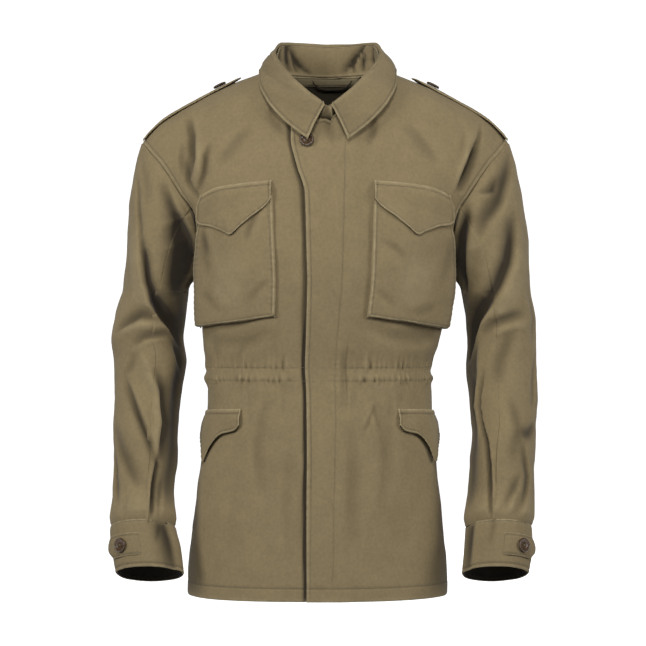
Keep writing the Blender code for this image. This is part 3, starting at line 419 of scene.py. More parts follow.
class Shell:
    """A cloth piece as a grid of points, with rows up it and columns across it. free names its edges that no
    other piece covers: its top, its bottom and its sides."""

    def __init__(self, points, inside, free="top bottom side", closed=False):
        normals = grid_normals(points, closed)
        if ((points - np.array(inside)) * normals).sum() < 0:
            normals = -normals
        self.points, self.normals, self.closed = points, normals, closed
        self.across = running_length(points, 1)
        self.up = running_length(points, 0)
        self.to_top = self.up[-1:] - self.up
        self.to_far = self.across[:, -1:] - self.across
        far_off = np.ones(self.up.shape)
        self.to_side = far_off if closed else np.minimum(self.across, self.to_far)
        distances = {"top": self.to_top, "bottom": self.up, "side": self.to_side}
        self.to_edge = np.minimum.reduce([far_off, *(distances[edge] for edge in free.split())])
        self.worn_from = self.to_edge
        # drawn holds painted shade along grooves and seams; the value after it, when set, gives the painted shade and
        # highlight in place of the relief
        self.turned_in, self.relief, self.lift, self.drawn = (np.zeros(self.up.shape) for _ in range(4))
        self.painted_shading = None

    def lap(self, edge, out=LAP_OUT, depth=LAP_DEPTH, where=True, step=LAP_STEP):
        """Runs the cloth on under the next piece along a sewn edge, as a seam allowance does. edge is top,
        bottom, first or last, and where picks the part of it that is sewn."""
        row, beside = {
            "top": (-1, -2), "bottom": (0, 1),
            "first": (np.s_[:, 0], np.s_[:, 1]), "last": (np.s_[:, -1], np.s_[:, -2]),
        }[edge]
        way = unit(self.points[row] - self.points[beside])
        where, out = (np.broadcast_to(value, way.shape[:1]) for value in (where, out))
        self.points[row] += np.where(where[:, None], way * out[:, None], 0.0)
        self.turned_in[row] = np.where(where, depth, self.turned_in[row])
        self.turned_in[beside] = np.where(where, step, self.turned_in[beside])

    def groove(self, distance, depth, shade, width, shade_width, shown=1.0):
        """A narrow dip along a line of stitches or a seam, with painted shade along it."""
        self.relief -= depth * hump(distance, width) * shown
        self.drawn -= shade * hump(distance, shade_width) * shown

    def sew(self, distance, shown=1.0, welt=False):
        """A stitched line: the thread pulls a groove in, and painted shade darkens it. A welt is the puffed edge
        beside it.
        """
        self.groove(distance, LINE_GROOVE, LINE_SHADE, LINE_GROOVE_WIDTH, LINE_SHADE_WIDTH, shown)
        if welt:
            self.relief += WELT_PUFF * hump(distance + WELT_OFF, WELT_OFF)

    def pucker(self, distance, along, height, seed=0.0):
        self.relief += puckers(distance, along, height, seed)

    def raised(self):
        """The finished points: lifted, creased and rolled in at the turned edges."""
        roll = EDGE_ROLL * np.clip(1 - self.to_edge / ROLL_REACH, 0, 1) ** 2
        height = self.lift + self.relief - roll - self.turned_in
        return self.points + self.normals * height[..., None]


def add_object(name, data):
    made = bpy.data.objects.new(name, data)
    bpy.context.scene.collection.objects.link(made)
    return made


def mesh_of(name, bm, finish=None):
    """Puts a bmesh into a new smooth mesh with its material."""
    mesh = bpy.data.meshes.new(name)
    bm.to_mesh(mesh)
    bm.free()
    if finish:
        mesh.shade_smooth()
        mesh.materials.append(finish)
    return mesh


def add_shell(name, shell, wall, finish, wear=1.0, lining=None):
    """Makes a shell's mesh: a grid put on its points, with its wall, its UV map in metres, its wear and its painted
    shade and highlight.
    """
    rows, columns = (count - 1 for count in shell.up.shape)
    bm = bmesh.new()
    bmesh.ops.create_grid(bm, x_segments=columns, y_segments=rows, size=0.5)
    mesh = mesh_of(name, bm)
    flat = np.empty(len(mesh.vertices) * 3)
    mesh.vertices.foreach_get("co", flat)
    column, row = (np.rint((flat[i::3] + 0.5) * count).astype(int) for i, count in enumerate((columns, rows)))
    mesh.vertices.foreach_set("co", shell.raised()[row, column].ravel())
    corner = np.empty(len(mesh.loops), np.int32)
    mesh.loops.foreach_get("vertex_index", corner)
    uv = np.stack([shell.across[row, column], shell.up[row, column]], axis=-1)[corner]
    mesh.uv_layers.new(name="Cloth").data.foreach_set("uv", uv.ravel())
    worn = wear * np.exp(-np.maximum(shell.worn_from, 0) / WEAR_REACH)
    # Painted shade and highlight: darker in troughs and grooves, paler on ridges
    painted_shading = shell.drawn + (shell.relief if shell.painted_shading is None else shell.painted_shading)
    for label, values in (("worn", worn), ("relief", painted_shading)):
        attribute = mesh.attributes.new(label, "FLOAT", "POINT")
        attribute.data.foreach_set("value", values[row, column].astype(np.float32))
    bm = bmesh.new()
    bm.from_mesh(mesh)
    bm.normal_update()
    bm.faces.ensure_lookup_table()
    first = bm.faces[len(bm.faces) // 2]
    place = first.verts[0].index
    if first.normal.dot(Vector(shell.normals[row[place], column[place]])) < 0:
        bmesh.ops.reverse_faces(bm, faces=bm.faces[:])
    if shell.closed:
        bmesh.ops.remove_doubles(bm, verts=bm.verts[:], dist=1e-5)
    bm.to_mesh(mesh)
    bm.free()
    mesh.shade_smooth()
    mesh.materials.append(finish)
    if lining:
        mesh.materials.append(lining)
    made = add_object(name, mesh)
    solid = made.modifiers.new("Wall", "SOLIDIFY")
    solid.material_offset = 1 if lining else 0
    solid.thickness = wall
    solid.offset = -1
    solid.use_quality_normals = True
    return made


STITCH_LENGTH = 0.0021
STITCH_STEP = 0.0029
STITCH_RADIUS = 0.00036
STITCH_TAPER = 0.8
STITCH_SIDES = 4
STITCH_SINK = 0.00005
LAST_CELL = 1.000001


def cone(bm, segments, radius, depth, matrix, taper=1.0):
    bmesh.ops.create_cone(
        bm, cap_ends=True, segments=segments, radius1=radius, radius2=radius * taper, depth=depth, matrix=matrix
    )


def turned_to(way):
    """The matrix that turns the z axis to a direction."""
    return Vector(way).to_track_quat("Z", "Y").to_matrix().to_4x4()


def stitch_row(points):
    """One row of stitches along a line, as a mesh: each is a short thread that lies on the cloth."""
    lengths = lengths_along(points)
    count = max(int(lengths[-1] / STITCH_STEP), 1)
    middle = (np.arange(count) + 0.5) * lengths[-1] / count
    place, ahead, behind = (
        np.stack([np.interp(middle + off, lengths, points[:, i]) for i in range(3)], axis=-1)
        for off in (0.0, STITCH_STEP / 4, -STITCH_STEP / 4)
    )
    bm = bmesh.new()
    for centre, forward in zip(place, unit(ahead - behind)):
        turned = Matrix.Translation(centre) @ turned_to(forward)
        cone(bm, STITCH_SIDES, STITCH_RADIUS, STITCH_LENGTH, turned, STITCH_TAPER)
    return mesh_of("stitch_row", bm)


def add_stitches(name, lines, finish):
    """All the rows of topstitching of one piece, joined into one object."""
    bm = bmesh.new()
    for points in (line for line in lines if len(line) > 1):
        row = stitch_row(points)
        bm.from_mesh(row)
        bpy.data.meshes.remove(row)
    return add_object(name, mesh_of(name, bm, finish))


def seated(shell, column, row):
    """A line on a shell's finished surface, at fractional columns and rows of its grid, with its thread half
    sunk."""
    surface = shell.raised() + shell.normals * STITCH_SINK
    rows, columns = surface.shape[:2]
    column = np.clip(np.asarray(column, float), 0, columns - LAST_CELL)
    row = np.clip(np.asarray(row, float), 0, rows - LAST_CELL)
    i, j = row.astype(int), column.astype(int)
    s, t = (row - i)[..., None], (column - j)[..., None]
    return mix(mix(surface[i, j], surface[i, j + 1], t), mix(surface[i + 1, j], surface[i + 1, j + 1], t), s)


def places_of(value, lists):
    """Where along each list of rising numbers a value lies."""
    values = np.broadcast_to(value, len(lists))
    return np.array([np.interp(one, numbers, range(len(numbers))) for one, numbers in zip(values, lists)])


def edge_line(shell, edge, inset, start=0.0, end=0.0):
    """A line beside the first, last, bottom or top edge of a shell, between start and end inside its ends."""
    upright, far = edge in ("first", "last"), edge in ("last", "top")
    away, along = (shell.across, shell.up) if upright else (shell.up.T, shell.across.T)
    middle = along[:, -1 if far else 0]
    keep = (middle >= start) & (middle <= middle[-1] - end) & (away[:, -1] > 2 * inset)
    index = np.arange(len(away))[keep]
    place = places_of(away[:, -1] - inset if far else inset, away)[keep]
    return seated(shell, *((place, index) if upright else (index, place)))


def border_lines(shell, inset, edges):
    """Stitch rows beside the named edges of a shell, each ending where the next one begins."""
    edges = edges.split()
    ends = dict.fromkeys(("first", "last"), ("bottom", "top")) | dict.fromkeys(("bottom", "top"), ("first", "last"))
    return [edge_line(shell, edge, inset, *(inset * (end in edges) for end in ends[edge])) for edge in edges]


def feed(tree, node, inputs):
    """Sets a node's inputs to values, or links them to the sockets that feed them."""
    for name, value in inputs.items():
        if isinstance(value, bpy.types.NodeSocket):
            tree.links.new(value, node.inputs[name])
        else:
            node.inputs[name].default_value = value
    return node


def add_node(tree, kind, inputs=None, **settings):
    made = tree.nodes.new("ShaderNode" + kind)
    for name, value in settings.items():
        setattr(made, name, value)
    return feed(tree, made, inputs or {})


def noise(tree, place, scale, detail=3.0, roughness=0.5):
    values = {"Vector": place, "Scale": scale, "Detail": detail, "Roughness": roughness}
    return add_node(tree, "TexNoise", values).outputs["Fac"]


def maths(tree, operation, *values):
    return add_node(tree, "Math", dict(enumerate(values)), operation=operation).outputs[0]


def spread(tree, value, low, high, to_low=0.0, to_high=1.0):
    """A value mapped from one range to another and kept inside it."""
    values = {"Value": value, "From Min": low, "From Max": high, "To Min": to_low, "To Max": to_high}
    return add_node(tree, "MapRange", values).outputs["Result"]


def blend_colour(tree, factor, first, second, mode="MIX"):
    values = {0: factor, 6: first, 7: second}
    return add_node(tree, "Mix", values, data_type="RGBA", blend_type=mode, clamp_factor=True).outputs[2]


VECTOR, NUMBER, COLOUR = "NodeSocketVector", "NodeSocketFloat", "NodeSocketColor"
CLOTH_SOCKETS = {
    "INPUT": {
        "Place": VECTOR, "Cloth": VECTOR, "Worn": NUMBER, "Painted Light Relief": NUMBER, "Base": COLOUR, "Pale": COLOUR,
        "Painted Shade": COLOUR, "Mottling": NUMBER,
    },
    "OUTPUT": {"Color": COLOUR, "Roughness": NUMBER, "Height": NUMBER},
}
WEAVE_LINES = 1300.0
# The dye's mottling: the scale, detail and roughness of each noise, and how strong it is
MOTTLES = ((9.0, 3.0, 0.5, 0.025), (42.0, 5.0, 0.6, 0.050), (210.0, 4.0, 0.65, 0.090))
SLUB_SCALE = 900.0
SLUB_SHARE = 0.65
WEAVE_SHARE = 0.35
WEAVE_DISTORTION = 0.6
# The range that most noise lies in
NOISE_RANGE = (0.3, 0.7)
# Where edges are chafed: the scale, detail and roughness of the noise, and how it is mapped
CHAFE_NOISE = (130.0, 4.0, 0.6)
CHAFE_RANGE = (0.32, 0.62, 0.25, 1.0)
CHAFE_SHARE = 0.95
RUB_RANGE = (-1.0, 1.0, 0.35, 1.0)
ROUGHNESS = 0.87
PATCH_ROUGHNESS = 0.03
EDGE_ROUGHNESS = -0.06
# Painted shade in troughs and painted highlight on ridges: how relief values map to how much shade or pale colour is
# mixed in
TROUGH_RANGE = (-0.0005, -0.0090, 0.0, 0.96)
RIDGE_RANGE = (0.0003, 0.0025, 0.0, 0.25)


def washed_cloth():
    """The node group of washed cotton: mottled dye, worn pale edges, painted shade in the troughs, painted highlight
    and rubbed wear on the ridges, and a diagonal weave.
    """
    known = bpy.data.node_groups.get("washed_cloth")
    if known:
        return known
    group = bpy.data.node_groups.new("washed_cloth", "ShaderNodeTree")
    for way, sockets in CLOTH_SOCKETS.items():
        for name, kind in sockets.items():
            group.interface.new_socket(name, in_out=way, socket_type=kind)
    given = group.nodes.new("NodeGroupInput").outputs
    place = given["Place"]
    mottles = [
        spread(group, noise(group, place, scale, detail, roughness), *NOISE_RANGE, -1.0, 1.0)
        for scale, detail, roughness, _ in MOTTLES
    ]
    patch = mottles[1]
    parts = [maths(group, "MULTIPLY", value, row[-1]) for value, row in zip(mottles, MOTTLES)]
    dye = maths(group, "ADD", maths(group, "ADD", parts[0], parts[1]), parts[2])
    shade = maths(group, "MULTIPLY_ADD", dye, given["Mottling"], 1.0)
    tone = add_node(group, "CombineColor", {"Red": shade, "Green": shade, "Blue": shade}).outputs[0]
    colour = blend_colour(group, 1.0, given["Base"], tone, "MULTIPLY")
    # Painted shade: troughs are mixed towards the shade colour
    colour = blend_colour(group, spread(group, given["Painted Light Relief"], *TROUGH_RANGE), colour, given["Painted Shade"])
    # Painted highlight on the ridges, made uneven by rubbed patches of wear
    rubbed = spread(group, patch, *RUB_RANGE)
    ridge = maths(group, "MULTIPLY", spread(group, given["Painted Light Relief"], *RIDGE_RANGE), rubbed)
    colour = blend_colour(group, ridge, colour, given["Pale"])
    chafed = spread(group, noise(group, place, *CHAFE_NOISE), *CHAFE_RANGE)
    edge = maths(group, "MULTIPLY", maths(group, "MULTIPLY", given["Worn"], chafed), CHAFE_SHARE)
    colour = blend_colour(group, edge, colour, given["Pale"])
    threads = {"Scale": WEAVE_LINES / FULL_TURN, "Distortion": WEAVE_DISTORTION, "Detail": 1.0}
    threads["Vector"] = given["Cloth"]
    weave = add_node(group, "TexWave", threads, bands_direction="DIAGONAL").outputs["Fac"]
    slub = maths(group, "MULTIPLY", noise(group, place, SLUB_SCALE, 2.0), SLUB_SHARE)
    rough = maths(group, "MULTIPLY_ADD", edge, EDGE_ROUGHNESS, ROUGHNESS)
    rough = maths(group, "MULTIPLY_ADD", patch, PATCH_ROUGHNESS, rough)
    height = maths(group, "MULTIPLY_ADD", weave, WEAVE_SHARE, slub)
    feed(group, group.nodes.new("NodeGroupOutput"), {"Color": colour, "Roughness": rough, "Height": height})
    return group


def once(build):
    """Makes a material the first time, and finds it by its name after that."""
    return lambda name, *values: bpy.data.materials.get(name) or build(name, *values)


def new_material(name):
    """A new material, its node tree, and the object's own coordinates in it."""
    made = bpy.data.materials.new(name)
    made.use_nodes = True
    return made, made.node_tree, made.node_tree.nodes.new("ShaderNodeTexCoord").outputs["Object"]


def set_surface(tree, inputs, height=None, strength=1.0, distance=0.0):
    """Feeds the surface's shader, and its normal from a bump."""
    if height:
        bump = add_node(tree, "Bump", {"Height": height, "Strength": strength, "Distance": distance})
        inputs["Normal"] = bump.outputs["Normal"]
    feed(tree, tree.nodes["Principled BSDF"], inputs)


CLOTH_SHEEN = 0.08
CLOTH_SHEEN_ROUGHNESS = 0.6
CLOTH_GLOSS = 0.15
# How strong each bump is, and how high
WEAVE_BUMP = (0.6, 0.00018)
THREAD_BUMP = (0.4, 0.00008)
BUTTON_BUMP = (0.15, 0.0001)
THREAD_SHADES = 60.0
THREAD_TWIST = 600.0
THREAD_PALE = 1.3
THREAD_ROUGHNESS = 0.7
BUTTON_STREAKS = (260.0, 4.0, 0.55)
STREAK_RANGE = (0.42, 0.72)
BUTTON_SCUFFS = (520.0, 3.0)
SCUFF_ROUGHNESS = (0.20, 0.38)
BUTTON_PALE = 1.9
BUTTON_GLOSS = 0.38
INNER_MOTTLING = 0.6


@once
def cloth_finish(name, base, pale, shade_colour, mottling=1.0):
    """A washed cloth material. It reads the piece's own UV map, wear and relief; the relief sets its painted shade and
    painted highlight.
    """
    made, tree, place = new_material(name)
    group = tree.nodes.new("ShaderNodeGroup")
    group.node_tree = washed_cloth()
    cloth = add_node(tree, "UVMap", uv_map="Cloth").outputs["UV"]
    worn, relief = (add_node(tree, "Attribute", attribute_name=kind).outputs["Fac"] for kind in ("worn", "relief"))
    values = {"Place": place, "Cloth": cloth, "Worn": worn, "Painted Light Relief": relief, "Mottling": mottling}
    feed(tree, group, values | {"Base": (*base, 1.0), "Pale": (*pale, 1.0), "Painted Shade": (*shade_colour, 1.0)})
    set_surface(tree, {
        "Base Color": group.outputs["Color"],
        "Roughness": group.outputs["Roughness"],
        "Sheen Weight": CLOTH_SHEEN,
        "Sheen Roughness": CLOTH_SHEEN_ROUGHNESS,
        "Specular IOR Level": CLOTH_GLOSS,
    }, group.outputs["Height"], *WEAVE_BUMP)
    return made


def mottled(tree, factor, colour, lift):
    """A colour that is mixed with a paler one of its own."""
    pale = [min(channel * lift, 1.0) for channel in colour]
    return blend_colour(tree, factor, (*colour, 1.0), (*pale, 1.0))


@once
def thread_finish(name, colour):
    made, tree, place = new_material(name)
    shade = spread(tree, noise(tree, place, THREAD_SHADES), *NOISE_RANGE)
    twist = add_node(tree, "TexWave", {"Vector": place, "Scale": THREAD_TWIST}, bands_direction="DIAGONAL")
    inputs = {"Base Color": mottled(tree, shade, colour, THREAD_PALE), "Roughness": THREAD_ROUGHNESS}
    set_surface(tree, inputs, twist.outputs["Fac"], *THREAD_BUMP)
    return made


@once
def button_finish(name, colour):
    made, tree, place = new_material(name)
    streak = noise(tree, place, *BUTTON_STREAKS)
    scuff = spread(tree, noise(tree, place, *BUTTON_SCUFFS), *NOISE_RANGE, *SCUFF_ROUGHNESS)
    shade = mottled(tree, spread(tree, streak, *STREAK_RANGE), colour, BUTTON_PALE)
    inputs = {"Base Color": shade, "Roughness": scuff, "Specular IOR Level": BUTTON_GLOSS}
    set_surface(tree, inputs, streak, *BUTTON_BUMP)
    return made


def jacket_cloth():
    look = bpy.context.scene.jacket_colours
    return cloth_finish("washed_olive", look.olive, look.worn_and_highlight_olive, look.painted_shade_olive)


def inner_shade_finish():
    """The inner side of the body, the sleeves and the cuffs, painted near black as the shade inside the jacket."""
    look = bpy.context.scene.jacket_colours
    return cloth_finish("inner_shade_olive", look.inside, look.painted_shade_olive, look.inside, INNER_MOTTLING)


def sewing_thread():
    return thread_finish("sewing_thread", bpy.context.scene.jacket_colours.thread)


OLIVE_SLOT = "olive_sateen"


def ride_on(piece, slot, *nodes):
    """The piece rides on the jacket's one body, and stands for its CAD nodes."""
    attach(piece, "root")
    if nodes:
        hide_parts(*nodes)


def finish_cloth(
    node, shell, lines=(), wear=1.0, wall=TRIM_WALL, cloth=None, slot=OLIVE_SLOT, extra=(), lining=None
):
    piece = add_shell(node + "_cloth", shell, wall, cloth or jacket_cloth(), wear, lining)
    ride_on(piece, slot, node)
    with_pieces = list(extra)
    if lines:
        with_pieces.append(add_stitches(node + "_stitching", lines, sewing_thread()))
        ride_on(with_pieces[-1], slot)


# Broad folds and finer creases of the body panels, as rows of crease_field. The creases also get painted shade and
# highlight; the folds do not.
FRONT_FOLDS = (
    (-150, -520, -165, -700, 4.5, 26, 4, 0), (-85, -500, -70, -725, -2.5, 26, 3, 0),
    (120, -520, 125, -725, -3, 26, -4, 0), (165, -545, 175, -720, 3.5, 22, 0, 0),
)
BACK_FOLDS = (
    (-100, -450, -115, -720, 5, 28, 4, 0), (10, -460, 0, -725, -4, 28, 4, 0), (105, -450, 125, -720, 5, 28, -4, 0),
)
FRONT_CREASES = (
    (32, -372, 31, -476, -2.4, 3.4, 1.2, 0.45), (75.6, -465, 61.8, -501, -2.2, 2.8, 0.8, 0.5),
    (75.6, -465, 85.2, -499, -2.2, 2.8, -0.6, 0.5), (112, -378, 128, -402, -1.2, 5, 1, 0.3),
    (60, -366, 70, -400, -0.9, 4.5, 1, 0.3), (-60, -352, -72, -404, -1, 5.5, 2, 0.25),
    (-102, -372, -118, -408, -1.2, 5, -1, 0.3), (-150, -372, -142, -404, -1.2, 5, 1, 0.3),
    (-48, -432, -56, -492, -1, 5, 1.5, 0.25), (-78, -432, -82, -470, -1.1, 4.5, 1, 0.25),
    (-101, -434, -98, -520, -1.2, 6, 2, 0.25), (52, -432, 47, -474, -1, 4.5, -1, 0.25),
    (96, -432, 100, -510, -1.1, 5, 2, 0.25), (118, -434, 112, -462, -1, 4.5, 1, 0.25),
    (-45, -170, -52, -255, -0.6, 8, 4, 0.2), (-52, -205, -35, -340, 0.8, 12, 5, 0),
    (46, -110, 52, -180, -0.6, 8, 3, 0.2), (50, -205, 42, -330, 0.8, 11, -4, 0),
    (-20, -560, -36, -700, -0.8, 12, 3, 0.2), (45, -540, 62, -690, -0.9, 12, -4, 0.2),
    (-118, -560, -124, -690, -1, 11, 3, 0.2), (2, -470, 4, -600, 0.7, 9, 2, 0), (85, -70, 78, -140, -0.5, 8, 2, 0.2),
    (-82, -78, -84, -142, -0.5, 8, -2, 0.2),
)
BACK_CREASES = (
    (-95, -300, -30, -352, -1.2, 7, 5, 0.3), (102, -288, 34, -350, -1.3, 7, -5, 0.3),
    (20, -330, 24, -400, -1.1, 6, 1, 0.25), (-36, -345, -44, -404, -1.1, 5.5, 1.5, 0.25),
    (-128, -350, -116, -404, -1.2, 5.5, -1, 0.3), (134, -345, 120, -404, -1.2, 5.5, 1, 0.3),
    (74, -362, 80, -405, -1, 5, 1, 0.25), (-70, -432, -80, -540, -1.2, 7, 3, 0.25),
    (-20, -432, -14, -490, -1, 5.5, 1, 0.25), (48, -432, 52, -560, -1.2, 7, -3, 0.25),
    (92, -432, 84, -480, -1, 5, 1, 0.25), (-118, -432, -126, -500, -1.1, 5.5, 1, 0.25),
    (130, -432, 138, -520, -1.1, 5.5, 2, 0.25),
)
# Drapes of the body panels, as rows of long_creases, which also get painted shade
FRONT_DRAPES = (
    (-3, 1.9, 0, 38.8, -364, 36.8, -398, 37.4, -440, 36.6, -476), (-3, 7, 0, 3, -66, 6, -86, 11, -100),
    (-3.6, 7, 0, 60, -56, 66, -78, 59, -102), (-3.4, 7, 0, -79, -42, -72, -64, -56, -86),
    (-7.5, 5.5, -0.25, -194, -56, -187, -84, -185, -118, -190, -148),
    (-6.5, 4.5, 0.35, -163, -96, -168, -114, -170, -138, -179, -166),
    (-5, 3.6, 0, -195, -118, -192.5, -148, -184, -164, -176, -176),
    (-3.5, 4.2, 0.3, -203, -94, -203, -116, -200.5, -142), (3, 5.5, 0, -178, -92, -177, -120, -181, -146),
    (-4.5, 3.5, 0.2, -199, -178, -190, -192, -184, -212), (-4.5, 3, 0.35, 219, -70, 214, -90, 204, -116),
    (-9, 5.6, 0.35, 211, -96, 202, -122, 194, -144, 186, -166), (-2.5, 3, -0.3, 197, -78, 194, -100, 188, -130),
    (3, 6, 0, 207, -80, 198, -108, 186, -140), (-3, 9, 0.2, -105, -70, -128, -98, -150, -130),
    (-3, 9, -0.2, 112, -66, 136, -96, 160, -128), (-2.4, 10, 0.1, -62, -355, -95, -372, -130, -376, -165, -368),
    (-2.6, 11, 0.1, 60, -350, 98, -366, 138, -372, 168, -360),
    (-2.2, 9, 0.2, -60, -445, -82, -475, -88, -530, -80, -590),
    (-2.2, 10, 0.2, 62, -440, 88, -480, 94, -550, 86, -620), (-2, 11, 0.1, 40, -480, 47, -560, 44, -650),
    (-1.8, 10, 0.1, -38, -500, -46, -580, -42, -680),
)
BACK_DRAPES = (
    (-8, 8, 0.35, -214, -70, -200, -100, -176, -138, -160, -185),
    (-6, 7, 0.3, -186, -66, -170, -104, -146, -140, -128, -190),
    (-8, 8, -0.35, 212, -66, 197, -104, 180, -142, 156, -180),
    (-5.5, 7, -0.3, 184, -70, 162, -110, 148, -150, 124, -196),
    (-4.5, 10, 0.25, -130, -270, -105, -315, -70, -352, -40, -392),
    (-4.5, 10, -0.25, 134, -262, 112, -310, 68, -350, 46, -396), (-3, 11, 0, -80, -52, -20, -64, 50, -62, 90, -50),
    (-3, 9, 0.2, -30, -300, -12, -345, -14, -396), (-3.5, 10, 0.2, -70, -440, -86, -490, -90, -560, -82, -640),
    (-3, 10, -0.2, 46, -440, 58, -500, 52, -580), (-3, 9, 0.2, -14, -445, -20, -510, -12, -570),
)
FOLD_FADE = 0.045

# By whether it is a front: a panel's cells and about how wide it is
PANEL_CELLS = {True: (140, 176), False: (140, 196)}
PANEL_WIDTH = {True: 0.28, False: 0.40}
PANEL_LENGTH = 0.74
PANEL_SEEDS = {"front_left": 0.0, "front_right": 1.7, "back": 3.1}
NECK_EDGE_MIDDLE = -0.035
LOW_SHARE = 0.618
PANEL_SEAM = 0.115
ARMHOLE_SEAM = 0.086

# Gathers where the waist cord pulls the cloth in, between two rows of stitching, with painted shade in their troughs
# and painted highlight on their ridges
CASING = (-0.4095, -0.4280)
CASING_REACH = 0.026
CASING_PUFF = -0.4235
CASING_SHOWN = 0.55
GATHERS = {True: 27, False: 40}
GATHER_DEPTH = 0.0025
GATHER_PUFF = 0.0012
GATHER_BAND = (0.030, 0.050)
CASING_BAND = (0.028, 0.036)
# How the gathers drift along the casing, how uneven they are, how their length varies, and their second wave
GATHER_DRIFTS = ((1.7, 19.0), (1.1, 43.0))
GATHER_UNEVEN = (0.70, 0.40, 29.0, 1.3)
GATHER_TAIL = (0.45, 2.3, 90)
GATHER_SECOND = (0.55, 1.63, 1.1)
GATHER_SHIFT = 140
PUFF_WIDTH = 0.0050
PUFF_SHARES = (0.4, 0.5)
# Each row's height, its strength, and how far its puckers reach above and below it
CASING_ROWS = ((-0.4095, 0.75, 0.0110, 0.0045), (-0.4280, 1.00, 0.0060, 0.0050))

# The hollow that the left front's edge leaves on the right front, with a painted shadow of that edge in it, below and
# above the waist
UNDER_EDGE = 0.0020
UNDER_DEPTH = 0.0030
UNDER_WIDTH = (0.0023, 0.0036)
UNDER_SHADE = (0.0170, 0.0085)
UNDER_RISE = (-0.400, -0.330)

# The heights over which the grooves beside the armhole and the shoulder seam begin
UPPER_BAND = (UNDERARM, UNDERARM + 0.02)

# How far in from each edge the rows of topstitching run, and the lines of those that follow no edge
HEM_STITCH = 0.019
HEM_REACH = 0.005
EDGE_STITCH = 0.0055
ARMHOLE_STITCH = 0.0060
SHOULDER_STITCH = 0.0050
SHOULDER_START = 0.004
FLY_STITCH = ((0.0275, -0.075), (0.0270, -0.146), (0.0250, -0.218), (0.0222, -0.357), (0.0215, -0.705))
HIP_SEAMS = {"front_left": ((0.107, -0.431), (0.107, -0.463)), "front_right": ((-0.108, -0.380), (-0.108, -0.463))}
# The fly's groove: its depth, its painted shade, and the widths of both
FLY_GROOVE = (0.0008, 0.0022, 0.0018, 0.0018)
FLY_END = (-0.712, -0.700)
LINE_STEP = 0.0027
# The share of a front's columns that its own lines lie on
LINE_COLUMNS = 0.8
# How high the puckers are
CASING_PUCKER = 0.00020
HEM_PUCKER = 0.00022
SIDE_PUCKER = 0.00030
FLY_PUCKER = 0.00032
EDGE_PUCKER = 0.00034


def gathers(share, count, start, z, seed):
    """The puckers along the waist cord's two rows of stitches. Each fades out at a length of its own."""
    (wide, wide_count), (fine, fine_count) = GATHER_DRIFTS
    drift = wide * np.sin(wide_count * share + seed) + fine * np.sin(fine_count * share + 2.1 * seed)
    phase = FULL_TURN * count * share + drift
    least, more, often, start_at = GATHER_UNEVEN
    uneven = least + more * np.sin(often * share + start_at + seed)
    (vary, vary_often, vary_shift), (second, second_often, second_at) = GATHER_TAIL, GATHER_SECOND
    total = np.zeros(np.broadcast(share, z).shape)
    for row, strength, above, below in CASING_ROWS:
        vary_by = 1.0 + vary * np.sin(vary_often * phase / math.pi + seed + vary_shift * row)
        tail = np.where(z > row, above, below) * vary_by
        wave = np.cos(phase + GATHER_SHIFT * row) + second * np.cos(second_often * phase + second_at + seed)
        total += strength * uneven * hump(z - row, tail) * wave
    puff = hump(z - CASING_PUFF, PUFF_WIDTH) * (PUFF_SHARES[0] + PUFF_SHARES[1] * uneven)
    return start * (GATHER_PUFF * puff - GATHER_DEPTH * total)


def panel_rows(rows):
    """The height and the rise of each row of a panel. They are closer together along the casing and the hem."""
    places = spaced(rows, PANEL_LENGTH)
    middle = (places[1:] + places[:-1]) / 2
    height = mix(HEM, UNDERARM, middle / LOW_SHARE)
    near = (abs(height - sum(CASING) / 2) < CASING_REACH) | (abs(height - HEM - HEM_STITCH) < HEM_REACH)
    places = np.sort(np.concatenate([places, middle[near]]))[:, None]
    rise = np.clip((places - LOW_SHARE) / (1 - LOW_SHARE), 0, 1)
    return mix(HEM, UNDERARM, np.clip(places / LOW_SHARE, 0, 1)), rise


